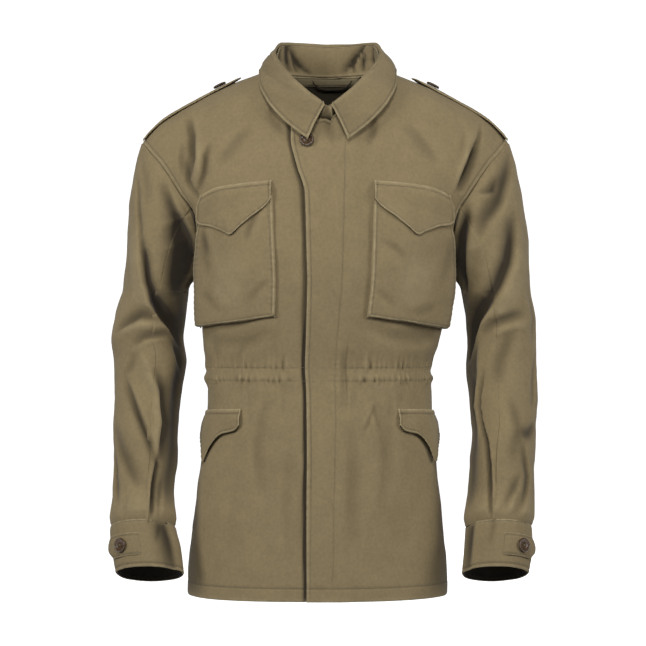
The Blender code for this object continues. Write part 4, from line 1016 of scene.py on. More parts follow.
class Panel(Shell):
    """A front or the back, which also knows the reach and the height of each of its points."""

    def __init__(self, name):
        self.name = name
        self.front = name != "back"
        columns, rows = PANEL_CELLS[self.front]
        height, rise = panel_rows(rows)
        level = np.where(rise > 0, height_at(LEVEL_REACH, rise), height)
        armhole_angle = section(self.front, level, rise)[3]
        self.share = spaced(columns, PANEL_WIDTH[self.front])[None]
        if self.front:
            side = 1 if name == "front_left" else -1
            edge_rise = rise * top_rise(True, np.array(NECK_EDGE_MIDDLE))
            edge_height = np.where(rise > 0, height_at(0.0, edge_rise), height)
            start = reach_angle(front_edge("over" if side > 0 else "under", edge_height), level, rise)
            end = np.where(rise > 0, armhole_angle - ARMHOLE_SEAM, side_seam("angle", height) - PANEL_SEAM)
            angle = mix(start, end, self.share)
        else:
            across = 1 - 2 * self.share
            side = np.where(across > 0, -1.0, 1.0)
            end = np.where(rise > 0, 180 - armhole_angle + ARMHOLE_SEAM, side_seam("angle", height) + PANEL_SEAM)
            angle = mix(180.0, end, abs(across))
        self.angle, height, rise = np.broadcast_arrays(angle, height, rise)
        points, self.reach, self.height = panel_points(self.front, side, self.angle, height, rise)
        super().__init__(points, BODY_MIDDLE)
        self.crease()
        self.stitch()
        if not self.front:
            self.lap("top", where=abs(self.reach[-1]) > NECK_HALF_WIDTH)
            for edge, column in (("first", 0), ("last", -1)):
                self.lap(edge, where=self.height[:, column] < UNDERARM)

    def crease(self):
        ahead = (self.angle <= 90) & self.front
        fade = ramp(0.0, FOLD_FADE, abs(self.points[..., 1]))
        x, z, seed = self.reach, self.height, PANEL_SEEDS[self.name]
        folds = np.where(ahead, crease_field(FRONT_FOLDS, x, z), crease_field(BACK_FOLDS, x, z))
        before = crease_field(FRONT_CREASES, x, z) + long_creases(FRONT_DRAPES, x, z)
        behind = crease_field(BACK_CREASES, x, z) + long_creases(BACK_DRAPES, x, z)
        start = ramp(*GATHER_BAND, abs(x)) if self.front else 1.0
        # Creases, drapes and gathers: painted shade in their troughs and painted highlight on their ridges
        self.painted_shading = np.where(ahead, before, behind) * fade + gathers(self.share, GATHERS[self.front], start, z, seed)
        self.relief += folds * fade + self.painted_shading + worn_waves(self.across, self.up, 1.0, seed)
        if self.name == "front_left":
            self.lift += overlap_lift(1, x)

    def stitch(self):
        """Grooves and puckers along the panel's rows of stitches and its edges."""
        x, z, seed = self.reach, self.height, PANEL_SEEDS[self.name]
        for row in CASING:
            self.sew(z - row, CASING_SHOWN * ramp(*CASING_BAND, abs(x)))
            self.pucker(z - row, self.across, CASING_PUCKER, seed)
        self.pucker(self.up - HEM_STITCH, self.across, HEM_PUCKER, seed)
        self.sew(self.up - HEM_STITCH)
        self.pucker(self.to_side, self.up, SIDE_PUCKER, seed + 1)
        upper = ramp(*UPPER_BAND, z)
        self.sew(self.to_top - SHOULDER_STITCH, upper)
        self.sew((self.to_far if self.front else self.to_side) - ARMHOLE_STITCH, upper)
        # A groove with the painted shadow of the left front's edge
        if self.name == "front_right":
            high = ramp(*UNDER_RISE, z)
            wide = mix(*UNDER_WIDTH, high)
            self.groove(x - front_edge("over", z) + UNDER_EDGE, UNDER_DEPTH, mix(*UNDER_SHADE, high), wide, wide)
        if self.name == "front_left":
            line = np.array(FLY_STITCH)[::-1]
            away = x - np.interp(z, line[:, 1], line[:, 0])
            shown = ramp(*FLY_END, z)
            self.groove(away, *FLY_GROOVE, shown)
            self.pucker(away, z, FLY_PUCKER * shown, seed + 2)
            self.sew(self.across - EDGE_STITCH, welt=True)
            self.pucker(self.across - EDGE_STITCH, self.up, EDGE_PUCKER, seed + 3)

    def place(self, line):
        """A line of (reach, height) pairs on this panel's finished surface."""
        line = np.array(line)
        length = lengths_along(line)
        at = np.arange(0.0, length[-1], LINE_STEP)
        x, z = (np.interp(at, length, line[:, i]) for i in range(2))
        tall, wide = self.reach.shape
        columns, rows = np.full(len(at), wide / 2), np.full(len(at), tall / 2)
        order = 1 if self.reach[0, -1] > self.reach[0, 0] else -1
        near = int(wide * LINE_COLUMNS) if self.front else wide
        for _ in range(6):
            rows = places_of(z, [self.height[:, int(round(column))] for column in columns])
            columns = places_of(x * order, [self.reach[int(round(row)), :near] * order for row in rows])
        return seated(self, columns, rows)

    def lines(self):
        """The panel's rows of topstitching."""
        lines = [edge_line(self, "bottom", HEM_STITCH)]
        for row in CASING:
            lines.append(seated(self, np.arange(self.up.shape[1]), places_of(row, self.height.T)))
        for edge, column in (("first", 0), ("last", -1)):
            if edge == "last" or not self.front:
                seam = self.up[np.argmin(abs(self.height[:, column] - UNDERARM)), column]
                lines.append(edge_line(self, edge, ARMHOLE_STITCH, seam + ARMHOLE_STITCH, SHOULDER_STITCH))
        line = edge_line(self, "top", SHOULDER_STITCH, ARMHOLE_STITCH, ARMHOLE_STITCH)
        # The shoulder's row stops at the neck
        lines += [line[side * line[:, 0] > NECK_HALF_WIDTH + SHOULDER_START] for side in (1, -1)]
        if self.name == "front_left":
            lines += [edge_line(self, "first", EDGE_STITCH, HEM_STITCH), self.place(FLY_STITCH)]
        if self.front:
            lines.append(self.place(HIP_SEAMS[self.name]))
        return lines


SLEEVE_TOP = -0.303
SLEEVE_END = -0.634
CUFF_END = -0.697
sleeve = Track("height right_centre left_centre right_half left_half forward half_depth tilt", (
    (-697, 244, 236, 47.5, 46.5, 88, 45, 20), (-662, 250, 241.5, 48.5, 48, 77, 46.5, 20),
    (-634, 255, 243, 46, 46.5, 67, 47.5, 20), (-590, 256, 247.5, 43, 47.5, 53, 51, 20),
    (-540, 253, 250, 45, 47, 37, 54, 19), (-497, 254, 254, 46, 46.5, 23, 56, 17),
    (-452, 252, 254, 47.5, 50, 10, 58, 14), (-406, 249, 251, 51.5, 50.5, 1, 61, 8),
    (-372, 253.5, 252, 52.5, 49, -3, 64, 4), (-340, 249, 250.5, 51.5, 50, -4, 67, 1),
    (-303, 242, 245, 47, 50, -3, 69, 0),
), "tilt")
ARMHOLE_RISES = (0.0, 0.11, 0.23, 0.36, 0.50, 0.64, 0.78, 0.89, 0.96, 1.0)
ARMHOLE_STEPS = len(ARMHOLE_RISES) - 1
ARMHOLE_FINE = 20
UNDER_SPAN = 3
PIECE_SHIFT = 0.012
SLEEVE_SEAM = 0.0006
SLEEVE_RADIUS = 0.050
SLEEVE_MIDDLE = (0.247, 0.0, -0.36)
SLEEVE_ROWS = (140, 92)
PLACE_LENGTH = 0.1 / 3
# Each sleeve piece's first and last place round the armhole, its columns, and its waves' seed
SLEEVE_SPANS = {
    "sleeve_upper_": (UNDER_SPAN, 2 * ARMHOLE_STEPS - UNDER_SPAN, 118, 0.3),
    "sleeve_under_": (-UNDER_SPAN, UNDER_SPAN, 56, 0.9),
}

# How the cap leaves the armhole: sideways everywhere, at the front and back, and at the top, then
# forwards and down, and how straight it runs into the sleeve
CAP_OUT = (0.18, 0.42, 0.16)
CAP_FORWARD = 0.30
CAP_DOWN = 0.95
CAP_ARRIVE = 0.90
CAP_FOLD_START = 0.16
CAP_LEAN = 0.4
CAP_LEAN_STEP = 0.010
CAP_LENGTH = 0.20

# Sleeve folds, as rows of long_creases whose lines are turns round the sleeve and heights; they also get painted
# shade. Turns are 0 at the outer side, 90 at the front and 180 at the inner side.
SLEEVE_BACK_FOLDS = (
    (-8.5, 9, 0.5, 322, -150, 300, -215, 285, -290, 255, -345, 225, -370),
    (-6, 9, 0.3, 330, -350, 300, -362, 270, -372, 240, -395),
    (-4.5, 8, -0.3, 250, -130, 236, -190, 226, -245, 210, -280), (-4, 7, 0.3, 310, -400, 285, -412, 262, -405),
    (-5.5, 6, 0.3, 300, -450, 282, -500, 268, -560, 272, -628),
    (-4, 5, -0.3, 236, -470, 244, -530, 262, -585, 268, -625), (-3.5, 6, 0.2, 338, -510, 326, -565, 316, -626),
    (-3, 10, 0, 215, -440, 212, -520, 218, -600), (3, 12, 0, 300, -240, 318, -300, 322, -335),
)
SLEEVE_FOLDS = {
    "r": (
        (-3.8, 3.6, 0.4, 22, -140, 32, -167, 48, -209, 66, -253, 78, -292),
        (-11, 6.2, 0.5, 60, -240, 78, -292, 93, -318, 117, -343, 155, -376),
        (-8, 11, 0.45, 88, -310, 112, -333, 142, -362), (4, 12, 0, 40, -220, 56, -262, 70, -305, 88, -335),
        (-6, 4.5, -0.4, 62, -145, 84, -181, 104, -209, 118, -225),
        (-13, 10.5, -0.5, 98, -202, 112, -220, 128, -236, 146, -256, 156, -285),
        (-6, 15, 0, 112, -240, 126, -275, 138, -315),
        (-5.5, 9, 0.3, 36, -360, 55, -350, 78, -339, 102, -342, 122, -350), (3, 8, 0, 50, -366, 78, -354, 104, -356),
        (-4.2, 6.5, 0.3, 68, -386, 90, -373, 112, -369, 130, -368),
        (4.5, 6, 0, 84, -405, 100, -432, 112, -465, 118, -505, 114, -548),
        (-7.5, 8.5, 0.3, 96, -420, 120, -455, 130, -500, 121, -556),
        (-6, 6, -0.3, 50, -436, 70, -472, 86, -500, 104, -535, 117, -561),
        (-8, 3.6, 0.35, 118, -552, 113, -588, 107, -634), (-3.5, 10, 0.2, 24, -500, 44, -540, 64, -566, 90, -592),
        (-3.5, 6, 0.2, 14, -524, 26, -572, 46, -618), (-1.8, 6, 0.3, 8, -95, 28, -127, 46, -158, 56, -185),
        (-7, 19, 0, 148, -270, 158, -340, 160, -430, 158, -520, 150, -625),
        (-3, 6, 0.3, 140, -380, 150, -402, 172, -418), (-3, 5.5, -0.3, 134, -580, 126, -606, 122, -630),
        (-2.5, 7, 0, 70, -395, 60, -420, 44, -430),
    ),
    "l": (
        (-8.5, 9.5, 0.25, 46, -196, 57, -235, 69, -263, 91, -294, 108, -316, 130, -338),
        (3, 11, 0, 40, -250, 54, -285, 80, -318, 100, -338),
        (-12, 11, 0.5, 112, -316, 134, -340, 150, -366, 176, -400),
        (-6, 8.5, 0.2, 12, -92, 32, -132, 60, -176, 88, -205, 106, -230),
        (-4, 5, -0.3, 104, -176, 90, -160, 75, -164, 63, -161, 52, -142),
        (-11, 10, 0.45, 96, -170, 106, -198, 126, -236, 148, -276, 158, -310),
        (-4.5, 9, 0.25, 132, -366, 112, -352, 97, -347, 75, -340, 50, -336),
        (3, 8, 0, 112, -366, 92, -360, 66, -353, 48, -350), (-3.5, 11, 0, 74, -352, 86, -385, 97, -412, 106, -448),
        (-7.5, 3.2, 0.35, 124, -425, 134, -455, 139, -478, 134, -505, 121, -532, 115, -560, 112, -590, 106, -634),
        (3.5, 7, 0, 142, -420, 152, -470, 144, -525), (-4.5, 7, 0.2, 144, -380, 146, -430, 158, -462, 178, -482),
        (-5.5, 9, 0, 22, -500, 40, -513, 60, -520), (-4.5, 5.8, 0.25, 56, -532, 42, -575, 50, -606, 60, -628),
        (-3.5, 6, 0.2, 62, -575, 78, -606, 90, -628), (-2.8, 10, 0, 84, -462, 66, -512, 78, -560),
        (-6, 17, 0, 160, -330, 166, -430, 164, -540, 156, -625), (-3, 6, 0.2, 20, -400, 34, -440, 36, -478),
        (-2.5, 7, 0, 30, -300, 24, -345, 34, -378),
    ),
}

# Pleats at the cuff seam
PLEAT_TURNS = {"r": (28.0, 62.0, 108.0, 250.0, 300.0), "l": (24.0, 64.0, 108.0, 250.0, 300.0)}
PLEAT_DEPTH = 0.0026
PLEAT_WIDTH = 6.0
PLEAT_LENGTH = 0.050
CUFF_PUFF = 0.0025
PUFF_RISE = 0.013
CUFF_FADE = 0.014
CUFF_FOLDS = 0.30
ARMHOLE_LAP = 0.0065
ARMHOLE_LAP_DEPTH = 0.0032
CUFF_LAP = 0.006
SLEEVE_STEP = 0.0004
SLEEVE_WAVES = 1.1
WAVE_SHIFT = 0.3
# How high the puckers are beside the long seams, the cuff seam and the armhole
SLEEVE_PUCKERS = (0.00012, 0.00045, 0.00030)
# How much more strongly the folds are painted as shade than they stand out, and the painted shade over the lower
# sleeve below the band
SLEEVE_SHADE_PAINT = 1.35
LOW_SHADE = 0.0011
LOW_SHADE_BAND = (-0.60, -0.46)


def ring_points(letter, turn, height, lift=0.0):
    """Points of the sleeve's own section at a height of its axis."""
    name = LONG_NAMES[letter]
    angle, tilt = np.radians(turn), np.radians(sleeve("tilt", height))
    out = (sleeve(name + "_half", height) + lift) * np.cos(angle)
    fore = (sleeve("half_depth", height) + lift) * np.sin(angle)
    x = SIDES[letter] * (sleeve(name + "_centre", height) + out)
    return points_of(x, -sleeve("forward", height) - fore * np.cos(tilt), height + fore * np.sin(tilt))


def turned_creases(rows, turn, height):
    """Long creases whose lines are given as turns round the sleeve and heights."""
    total = np.zeros(np.broadcast(turn, height).shape)
    for depth, width, skew, *line in rows:
        turns, heights = np.radians(line[::2]), line[1::2]
        nearest = turns.mean() + (np.radians(turn) - turns.mean() + math.pi) % FULL_TURN - math.pi
        places = np.stack([turns * SLEEVE_RADIUS / MM, heights], axis=-1)
        total += long_creases(((depth, width, skew, *places.ravel()),), nearest * SLEEVE_RADIUS, height)
    return total


def sleeve_relief(letter, turn, height):
    """How far the folds, creases and pleats of a sleeve push its cloth outwards."""
    total = turned_creases(SLEEVE_FOLDS[letter] + SLEEVE_BACK_FOLDS, turn, height)
    above = height - SLEEVE_END
    rise = ramp(0.0, PUFF_RISE, above)
    for pleat in PLEAT_TURNS[letter]:
        off = (turn - pleat + 180) % 360 - 180
        total -= PLEAT_DEPTH * np.clip(1 - above / PLEAT_LENGTH, 0, 1) * rise * hump(off, PLEAT_WIDTH)
    return total + CUFF_PUFF * rise * (1 - ramp(PUFF_RISE, PLEAT_LENGTH, above))


def armhole_at(side, place):
    """Points of the armhole and the sleeve's turns there. Place 0 is the underarm, ARMHOLE_STEPS the shoulder,
    and then the places run down the back. Those below 0 do so too."""
    steps = ARMHOLE_STEPS * ARMHOLE_FINE
    rise = np.interp(np.linspace(0, ARMHOLE_STEPS, steps + 1), range(ARMHOLE_STEPS + 1), ARMHOLE_RISES)
    halves = []
    for front, column in ((True, "front_reach"), (False, "back_reach")):
        reach = armhole(column, rise) * side
        halves.append(skin(front, reach, height_at(reach, rise)))
    loop = np.concatenate([halves[0], halves[1][-2::-1]])
    lengths = lengths_along(loop)
    top = lengths[steps]
    turns = np.where(lengths <= top, 180 * (1 - lengths / top), -180 * (lengths - top) / (lengths[-1] - top))
    places = np.linspace(0, 2 * ARMHOLE_STEPS, len(loop))
    wrapped = np.where(place < 0, place + 2 * ARMHOLE_STEPS, place)
    points = np.stack([np.interp(wrapped, places, loop[:, i]) for i in range(3)], axis=-1)
    return points, np.interp(wrapped, places, turns) + np.where(place < 0, 360.0, 0.0)


def cap_points(letter, start, turn, share):
    """Points between the armhole and the sleeve's first full section."""
    side = SIDES[letter]
    angle = np.radians(turn)
    end = ring_points(letter, turn, np.array(SLEEVE_TOP))
    span = np.linalg.norm(end - start, axis=-1)[..., None]
    fore = np.sin(angle)
    sideways = CAP_OUT[0] + CAP_OUT[1] * fore**2 + CAP_OUT[2] * (0.5 + 0.5 * np.cos(angle))
    leave = unit(points_of(side * sideways, -CAP_FORWARD * fore, -CAP_DOWN)) * span
    below = ring_points(letter, turn, np.array(SLEEVE_TOP - CAP_LEAN_STEP))
    arrive = mix(points_of(0.0, 0.0, -1.0), unit(below - end), CAP_LEAN) * span * CAP_ARRIVE
    t = share[..., None]
    return curve(t, start, leave, end, arrive) + points_of(side * SLEEVE_SEAM, 0.0, 0.0) * (1 - t)


def sleeve_shell(letter, first, last, columns, seed):
    """A sleeve piece between two places of the armhole, from the cuff seam up."""
    side = SIDES[letter]
    low_rows, cap_rows = SLEEVE_ROWS
    low = mix(SLEEVE_END, SLEEVE_TOP, np.linspace(0, 1, low_rows + 1))[:, None]
    share = 1 - spaced(cap_rows, CAP_LENGTH)
    share = np.concatenate([np.linspace(1, share[3], 4)[1:-1], share[3:]])[:, None]
    place = mix(first + PIECE_SHIFT, last - PIECE_SHIFT, spaced(columns, PLACE_LENGTH * (last - first)))[None]
    start, turn = armhole_at(side, place)
    tube = ring_points(letter, turn, low)
    cap = cap_points(letter, start, turn, share)
    shell = Shell(np.concatenate([tube, cap]), (side * SLEEVE_MIDDLE[0], *SLEEVE_MIDDLE[1:]), free="bottom")
    height = np.concatenate([np.broadcast_to(low, tube.shape[:2]), cap[..., 2]])
    fade = np.concatenate([np.ones(tube.shape[:2]), ramp(0.0, CAP_FOLD_START, share) * np.ones_like(turn)])
    fade *= mix(CUFF_FOLDS, 1.0, ramp(0.0, CUFF_FADE, height - SLEEVE_END))
    folds = sleeve_relief(letter, turn, height) * fade
    # Painted shade in the folds, and painted shade darkening the lower sleeve
    shell.painted_shading = folds * SLEEVE_SHADE_PAINT - LOW_SHADE * (1 - ramp(*LOW_SHADE_BAND, height))
    shell.relief += folds + worn_waves(shell.across + WAVE_SHIFT, shell.up, SLEEVE_WAVES, seed)
    shell.pucker(shell.to_side, shell.up, SLEEVE_PUCKERS[0], seed)
    shell.pucker(shell.up, shell.across, SLEEVE_PUCKERS[1], seed + 1)
    shell.pucker(shell.to_top, shell.across, SLEEVE_PUCKERS[2], seed + 2)
    shell.lap("top", out=ARMHOLE_LAP, depth=ARMHOLE_LAP_DEPTH)
    shell.lap("bottom", out=CUFF_LAP)
    if first < 0:
        shell.lap("first", step=SLEEVE_STEP)
        shell.lap("last", step=SLEEVE_STEP)
    return shell


CUFF_CELLS = (150, 34)
CUFF_GAP = 0.0004
CUFF_WALL = 0.0016
CUFF_STITCHES = (0.0055, 0.0020)
CUFF_SEEDS = (0.4, 1.9)
# Two waves round a cuff, and how far they fade upwards
CUFF_WAVES = (0.0006, 0.0004)
WAVE_FADE = 0.6
CUFF_CREASES = {
    "r": (
        (-7.5, 12.5, -0.45, 130, -606, 134, -640, 138, -672, 140, -704),
        (-2.6, 4, 0, 110, -664, 118, -650, 124, -640),
    ),
    "l": (
        (-7, 11, 0.3, 146, -606, 149, -640, 150, -670, 148, -704), (-2.4, 5, 0, 96, -622, 104, -646, 108, -670),
    ),
}
CUFF_CREASE_RELIEF = 0.5
# Painted shade over the whole cuff and its tab
CUFF_SHADE = 0.0013
CUFF_PUCKER = 0.00028
TAB_TURNS = (84.0, 4.0)
TAB_LENGTH = 0.068
TAB_ROOT = 0.12
TAB_ROOT_LIFT = 0.0006
TAB_LIFT = 0.0022
TAB_TIP_LIFT = 0.0052
TAB_HEIGHT = -0.667
TAB_HALF = 0.0150
TAB_POINT_SHARE = 0.30
TAB_TIP_WIDTH = 0.08
TAB_INSIDE = (0.246, -0.08)
TAB_CELLS = (46, 26)
TAB_STITCH = 0.0028
TAB_PUCKER = 0.00015


def inside_cuff(side):
    return side * TAB_INSIDE[0], TAB_INSIDE[1], TAB_HEIGHT


def cuff_shell(letter):
    side = SIDES[letter]
    columns, rows = CUFF_CELLS
    share = spaced(rows, SLEEVE_END - CUFF_END)[:, None]
    height = mix(CUFF_END, SLEEVE_END, share)
    turn = np.linspace(0, 360, columns + 1)[None]
    angle, tilt = np.radians(turn), np.radians(sleeve("tilt", height))
    down = points_of(0.0, -np.sin(tilt), -np.cos(tilt)) * CUFF_GAP
    points = ring_points(letter, turn, height) + down * (share == 1.0)[..., None]
    shell = Shell(points, inside_cuff(side), closed=True)
    wave = CUFF_WAVES[0] * np.sin(3 * angle + side) + CUFF_WAVES[1] * np.sin(7 * angle)
    creases = turned_creases(CUFF_CREASES[letter], turn, height)
    shell.relief += wave * (1 - WAVE_FADE * share) + CUFF_CREASE_RELIEF * creases
    # Painted shade in the cuff's creases and over the whole cuff
    shell.painted_shading = creases - CUFF_SHADE
    count = round(FULL_TURN * SLEEVE_RADIUS / PUCKER_LENGTH)
    for seed, inset, distance in zip(CUFF_SEEDS, CUFF_STITCHES, (shell.up, shell.to_top)):
        shell.relief += CUFF_PUCKER * hump(distance - inset, PUCKER_REACH) * np.sin(angle * count + seed)
        shell.sew(distance - inset)
    return shell


def tab_points(letter, share, across):
    """Points of a cuff tab: share runs from its root at the front to its tip, across from -1 to 1."""
    half = TAB_HALF * np.minimum(1.0, (1.0 - share) / TAB_POINT_SHARE + TAB_TIP_WIDTH)
    lift = mix(TAB_ROOT_LIFT, TAB_LIFT, ramp(0.0, TAB_ROOT, share))
    lift = lift + (TAB_TIP_LIFT - TAB_LIFT) * ramp(0.5, 1.0, share)
    return ring_points(letter, mix(*TAB_TURNS, share), TAB_HEIGHT + across * half, lift)


def tab_shell(letter):
    columns, rows = TAB_CELLS
    across = 2 * spaced(rows, 2 * TAB_HALF)[:, None] - 1
    side = SIDES[letter]
    tab = Shell(tab_points(letter, spaced(columns, TAB_LENGTH)[None], across), inside_cuff(side))
    tab.worn_from = np.minimum.reduce([tab.to_top, tab.up, tab.to_far])
    tab.sew(tab.worn_from - TAB_STITCH)
    tab.pucker(tab.worn_from, tab.across, TAB_PUCKER, side)
    # Painted shade over the whole tab
    tab.painted_shading = tab.relief - CUFF_SHADE
    return tab


# Chest pockets. Across is 0 at the edge nearer the front opening and 1 at the outer edge.
bag = Track("across top bottom", ((0, -171, -337), (0.45, -175, -344), (1, -190, -352)), "across")
bag_outer = Track("height reach", ((-365, 166.5), (-330, 170.5), (-276, 174), (-230, 173.5), (-180, 170), (-150, 169)))
BAG_INNER = {"l": (0.0630, 0.0690), "r": (0.0665, 0.0745)}
BAG_WIDTH = 0.103
BAG_LENGTH = 0.168
BAG_STAND_INNER = 0.0040
BAG_STAND_OUTER = 0.0120
BAG_STAND_BOTTOM = 0.0030
BAG_STAND_BEND = 1.3
BAG_CLOSE = 0.7
BAG_CLOSE_START = 0.75
BAG_GUSSET_LIFT = 0.0024
BAG_TOP_STAND = 0.0030
# How far the gusset flares and how far the face rounds, as shares of the width and the length
BAG_TURNS = ((0.025, 0.030), (0.015, 0.018))
BAG_CELLS = (64, 84)
BAG_GUSSET_CELLS = 9
BAG_STITCH = 0.0026
BAG_BORDER = BAG_STITCH + BAG_TURNS[0][0] * BAG_WIDTH + 0.003
BAG_PUCKER = 0.00034
BAG_SEED = 2.2
BAG_WAVES = 0.9
BAG_WEAR = 1.9
BAG_RIDGE = 0.0008
# How much more strongly the pocket's creases are painted as shade than they stand out
BAG_SHADE_PAINT = 3.0
BAG_CREASES = {
    "l": (
        (75, -232, 112, -262, -1.1, 6, 3, 0.3), (168, -225, 150, -300, -1, 7, 3, 0.25),
        (70, -300, 100, -328, -0.9, 6, 2, 0.25), (120, -255, 118, -330, 1.2, 18, 4, 0),
        (150, -318, 120, -336, -1, 6, 2, 0.25),
    ),
    "r": (
        (90, -190, 108, -235, -1.4, 5, 2, 0.4), (164, -212, 156, -250, -1.6, 4.2, 1, 0.3),
        (160, -228, 148, -290, -1, 6.5, 3, 0.3), (74, -286, 104, -322, -1, 6.5, 3, 0.25),
        (122, -250, 126, -328, 1.1, 18, 4, 0), (160, -300, 132, -334, -1, 6, 2, 0.25),
    ),
}


def bag_stand(across, up):
    """How far a chest pocket's face stands off the front. It closes towards the top, under the flap."""
    across = np.clip(across, 0.0, 1.0)
    stand = mix(BAG_STAND_INNER, BAG_STAND_OUTER, across**BAG_STAND_BEND) + BAG_STAND_BOTTOM * (1 - up)
    return mix(BAG_TOP_STAND, stand, 1 - BAG_CLOSE * ramp(BAG_CLOSE_START, 1.0, up))


def rounded_places(count, flare, bend, both):
    """Places across a pocket with its gusset: narrow cells where it turns, and how far it has risen there."""
    turn = np.linspace(0, math.pi / 2, BAG_GUSSET_CELLS + 1)[:-1]
    first = mix(-flare, bend, 1 - np.cos(turn))
    middle = np.linspace(bend, 1 - bend if both else 1.0, count - (1 + both) * BAG_GUSSET_CELLS + 1)
    places = np.concatenate([first, middle, (1 - first)[::-1] if both else []])
    return places, np.concatenate([np.sin(turn), np.ones(len(middle)), np.sin(turn)[::-1] if both else []])


def bag_shell(letter):
    side = SIDES[letter]
    across, risen_across = (v[None] for v in rounded_places(BAG_CELLS[0], *BAG_TURNS[0], True))
    up, risen_up = (v[:, None] for v in rounded_places(BAG_CELLS[1], *BAG_TURNS[1], False))
    height = mix(bag("bottom", across), bag("top", across), up)
    reach = mix(mix(*BAG_INNER[letter], up), bag_outer("reach", height), across)
    lift = mix(BAG_GUSSET_LIFT, bag_stand(across, np.maximum(up, 0.0)), risen_across * risen_up)
    shell = Shell(lifted(True, side * reach, height, lift + overlap_lift(side, reach)), BODY_MIDDLE)
    from_side, from_bottom = (0.5 - abs(across - 0.5)) * BAG_WIDTH, up * BAG_LENGTH
    ridge = np.minimum(from_side, from_bottom)
    shell.worn_from = BAG_WEAR * abs(ridge - BAG_RIDGE)
    creases = crease_field(BAG_CREASES[letter], reach, height)
    # Painted shade in the pocket's creases
    shell.painted_shading = BAG_SHADE_PAINT * creases
    shell.relief += creases + worn_waves(reach, height, BAG_WAVES, BAG_SEED + side)
    shell.sew(ridge - BAG_STITCH)
    shell.pucker(from_side - BAG_STITCH, height, BAG_PUCKER, side)
    shell.pucker(from_bottom - BAG_STITCH, reach, BAG_PUCKER, side + 2)
    return shell


# Flaps: how high each one's top edge lies, and how far it drops from there
chest_top = Track("across height", ((0, -151), (0.4, -154), (0.75, -159), (1, -170)), "across")
chest_drop = Track("across height", (
    (0, 26), (0.07, 35), (0.25, 48), (0.42, 61.2), (0.53, 70), (0.62, 64), (0.78, 53), (0.94, 41), (1, 33),
), "across")
hip_top = Track("across height", ((0, -467), (0.45, -469), (1, -474)), "across")
hip_drop = Track("across height", (
    (0, 22), (0.06, 30), (0.22, 35), (0.38, 52), (0.5, 74), (0.62, 52), (0.78, 35), (0.94, 30), (1, 22),
), "across")
FLAP_CELLS = (84, 46)
FLAP_SIZE = (0.104, 0.045)
CHEST_FLAP_INNER = {"l": 0.0680, "r": 0.0740}
CHEST_FLAP_OUTER = 0.1740
CHEST_FLAP_CLEAR = 0.0038
CHEST_FLAP_ROOT = 0.0030
CHEST_FLAP_STEP = 0.014
CHEST_FLAP_HIGHEST = 0.92
HIP_FLAP_INNER = 0.1090
HIP_FLAP_END = 101.0
HIP_FLAP_STAND = 0.0042
HIP_FLAP_ROOT = 0.0024
HIP_FLAP_BEND = 0.6
FLAP_STITCH = 0.0038
FLAP_TOP_STITCH = 0.0060
FLAP_WAVES = 0.8
FLAP_PUCKERS = (0.00055, 0.00022)
FLAP_SEEDS = {"chest": 1.3, "hip": 4.1}


def flap_grid(top, drop):
    """A flap's places across and down, the height of each, and how far it lies below the top edge."""
    across, down = spaced(FLAP_CELLS[0], FLAP_SIZE[0])[None], 1 - spaced(FLAP_CELLS[1], FLAP_SIZE[1])[:, None]
    dropped = drop("height", across) * down
    return across, down, top("height", across) - dropped, dropped


def add_flap(node, points, seed):
    """A flap with its waves, its puckers and its two rows of stitches."""
    shell = Shell(points, BODY_MIDDLE)
    edge = np.minimum(shell.to_side, shell.up)
    shell.relief += worn_waves(shell.across, shell.up, FLAP_WAVES, seed)
    shell.sew(edge - FLAP_STITCH, welt=True)
    shell.pucker(edge - FLAP_STITCH / 2, shell.across + shell.up, FLAP_PUCKERS[0], seed)
    shell.sew(shell.to_top - FLAP_TOP_STITCH)
    shell.pucker(shell.to_top - FLAP_TOP_STITCH, shell.across, FLAP_PUCKERS[1], seed + 1)
    lines = border_lines(shell, FLAP_STITCH, "first last bottom")
    finish_cloth(node, shell, lines + [edge_line(shell, "top", FLAP_TOP_STITCH, FLAP_STITCH, FLAP_STITCH)])


def chest_flap_points(letter):
    side = SIDES[letter]
    across, _, height, dropped = flap_grid(chest_top, chest_drop)
    reach = mix(CHEST_FLAP_INNER[letter], CHEST_FLAP_OUTER, across)
    low = bag("bottom", across)
    up = (height - low) / (bag("top", across) - low)
    stand = bag_stand(across, np.minimum(up, CHEST_FLAP_HIGHEST)) + CHEST_FLAP_CLEAR
    lift = mix(CHEST_FLAP_ROOT, stand, ramp(0.0, CHEST_FLAP_STEP, dropped))
    return lifted(True, side * reach, height, lift + overlap_lift(side, reach))


def hip_flap_points(side):
    across, down, height, _ = flap_grid(hip_top, hip_drop)
    angle = mix(reach_angle(HIP_FLAP_INNER, height, 0.0), HIP_FLAP_END, across)
    return around(side * angle, height, HIP_FLAP_ROOT + HIP_FLAP_STAND * ramp(0.0, HIP_FLAP_BEND, down) + 0.0 * angle)


# Collar. Each row is a place round half the neck, from the centre back to the centre front.
collar = Track("place neck_reach roll_x roll_y roll_z edge_x edge_y edge_z", (
    (0, 0, 0, 60, 55, 0, 92, -10), (1, 40, 40, 50, 56, 58, 76, -6), (2, 68, 66, 20, 53, 92, 36, 8.5),
    (3, 78, 73, -12, 37, 98, -12, 11.5), (4, 70, 64, -40, 16, 97, -52, -11), (5, 50, 45, -66, -7, 85, -84, -38),
    (6, 27, 24, -84, -29, 60, -103, -68), (6.5, 14, 14.5, -90, -37, 44.5, -109.5, -81.2),
    (7, 1, 5, -96, -45, 28, -115.5, -93.5),
), "place")
COLLAR_CENTRE = 0.004
SHOULDER_PLACE = 3.0
COLLAR_PLACES = 7.0
INSIDE_COLLAR = (COLLAR_CENTRE, -0.010, -0.010)
COLLAR_STITCH = 0.0045
ROLL_RISE = 0.0030
ROLL_WIDTH = 0.0052
ROLL_INNER = (0.0005, 0.0014)
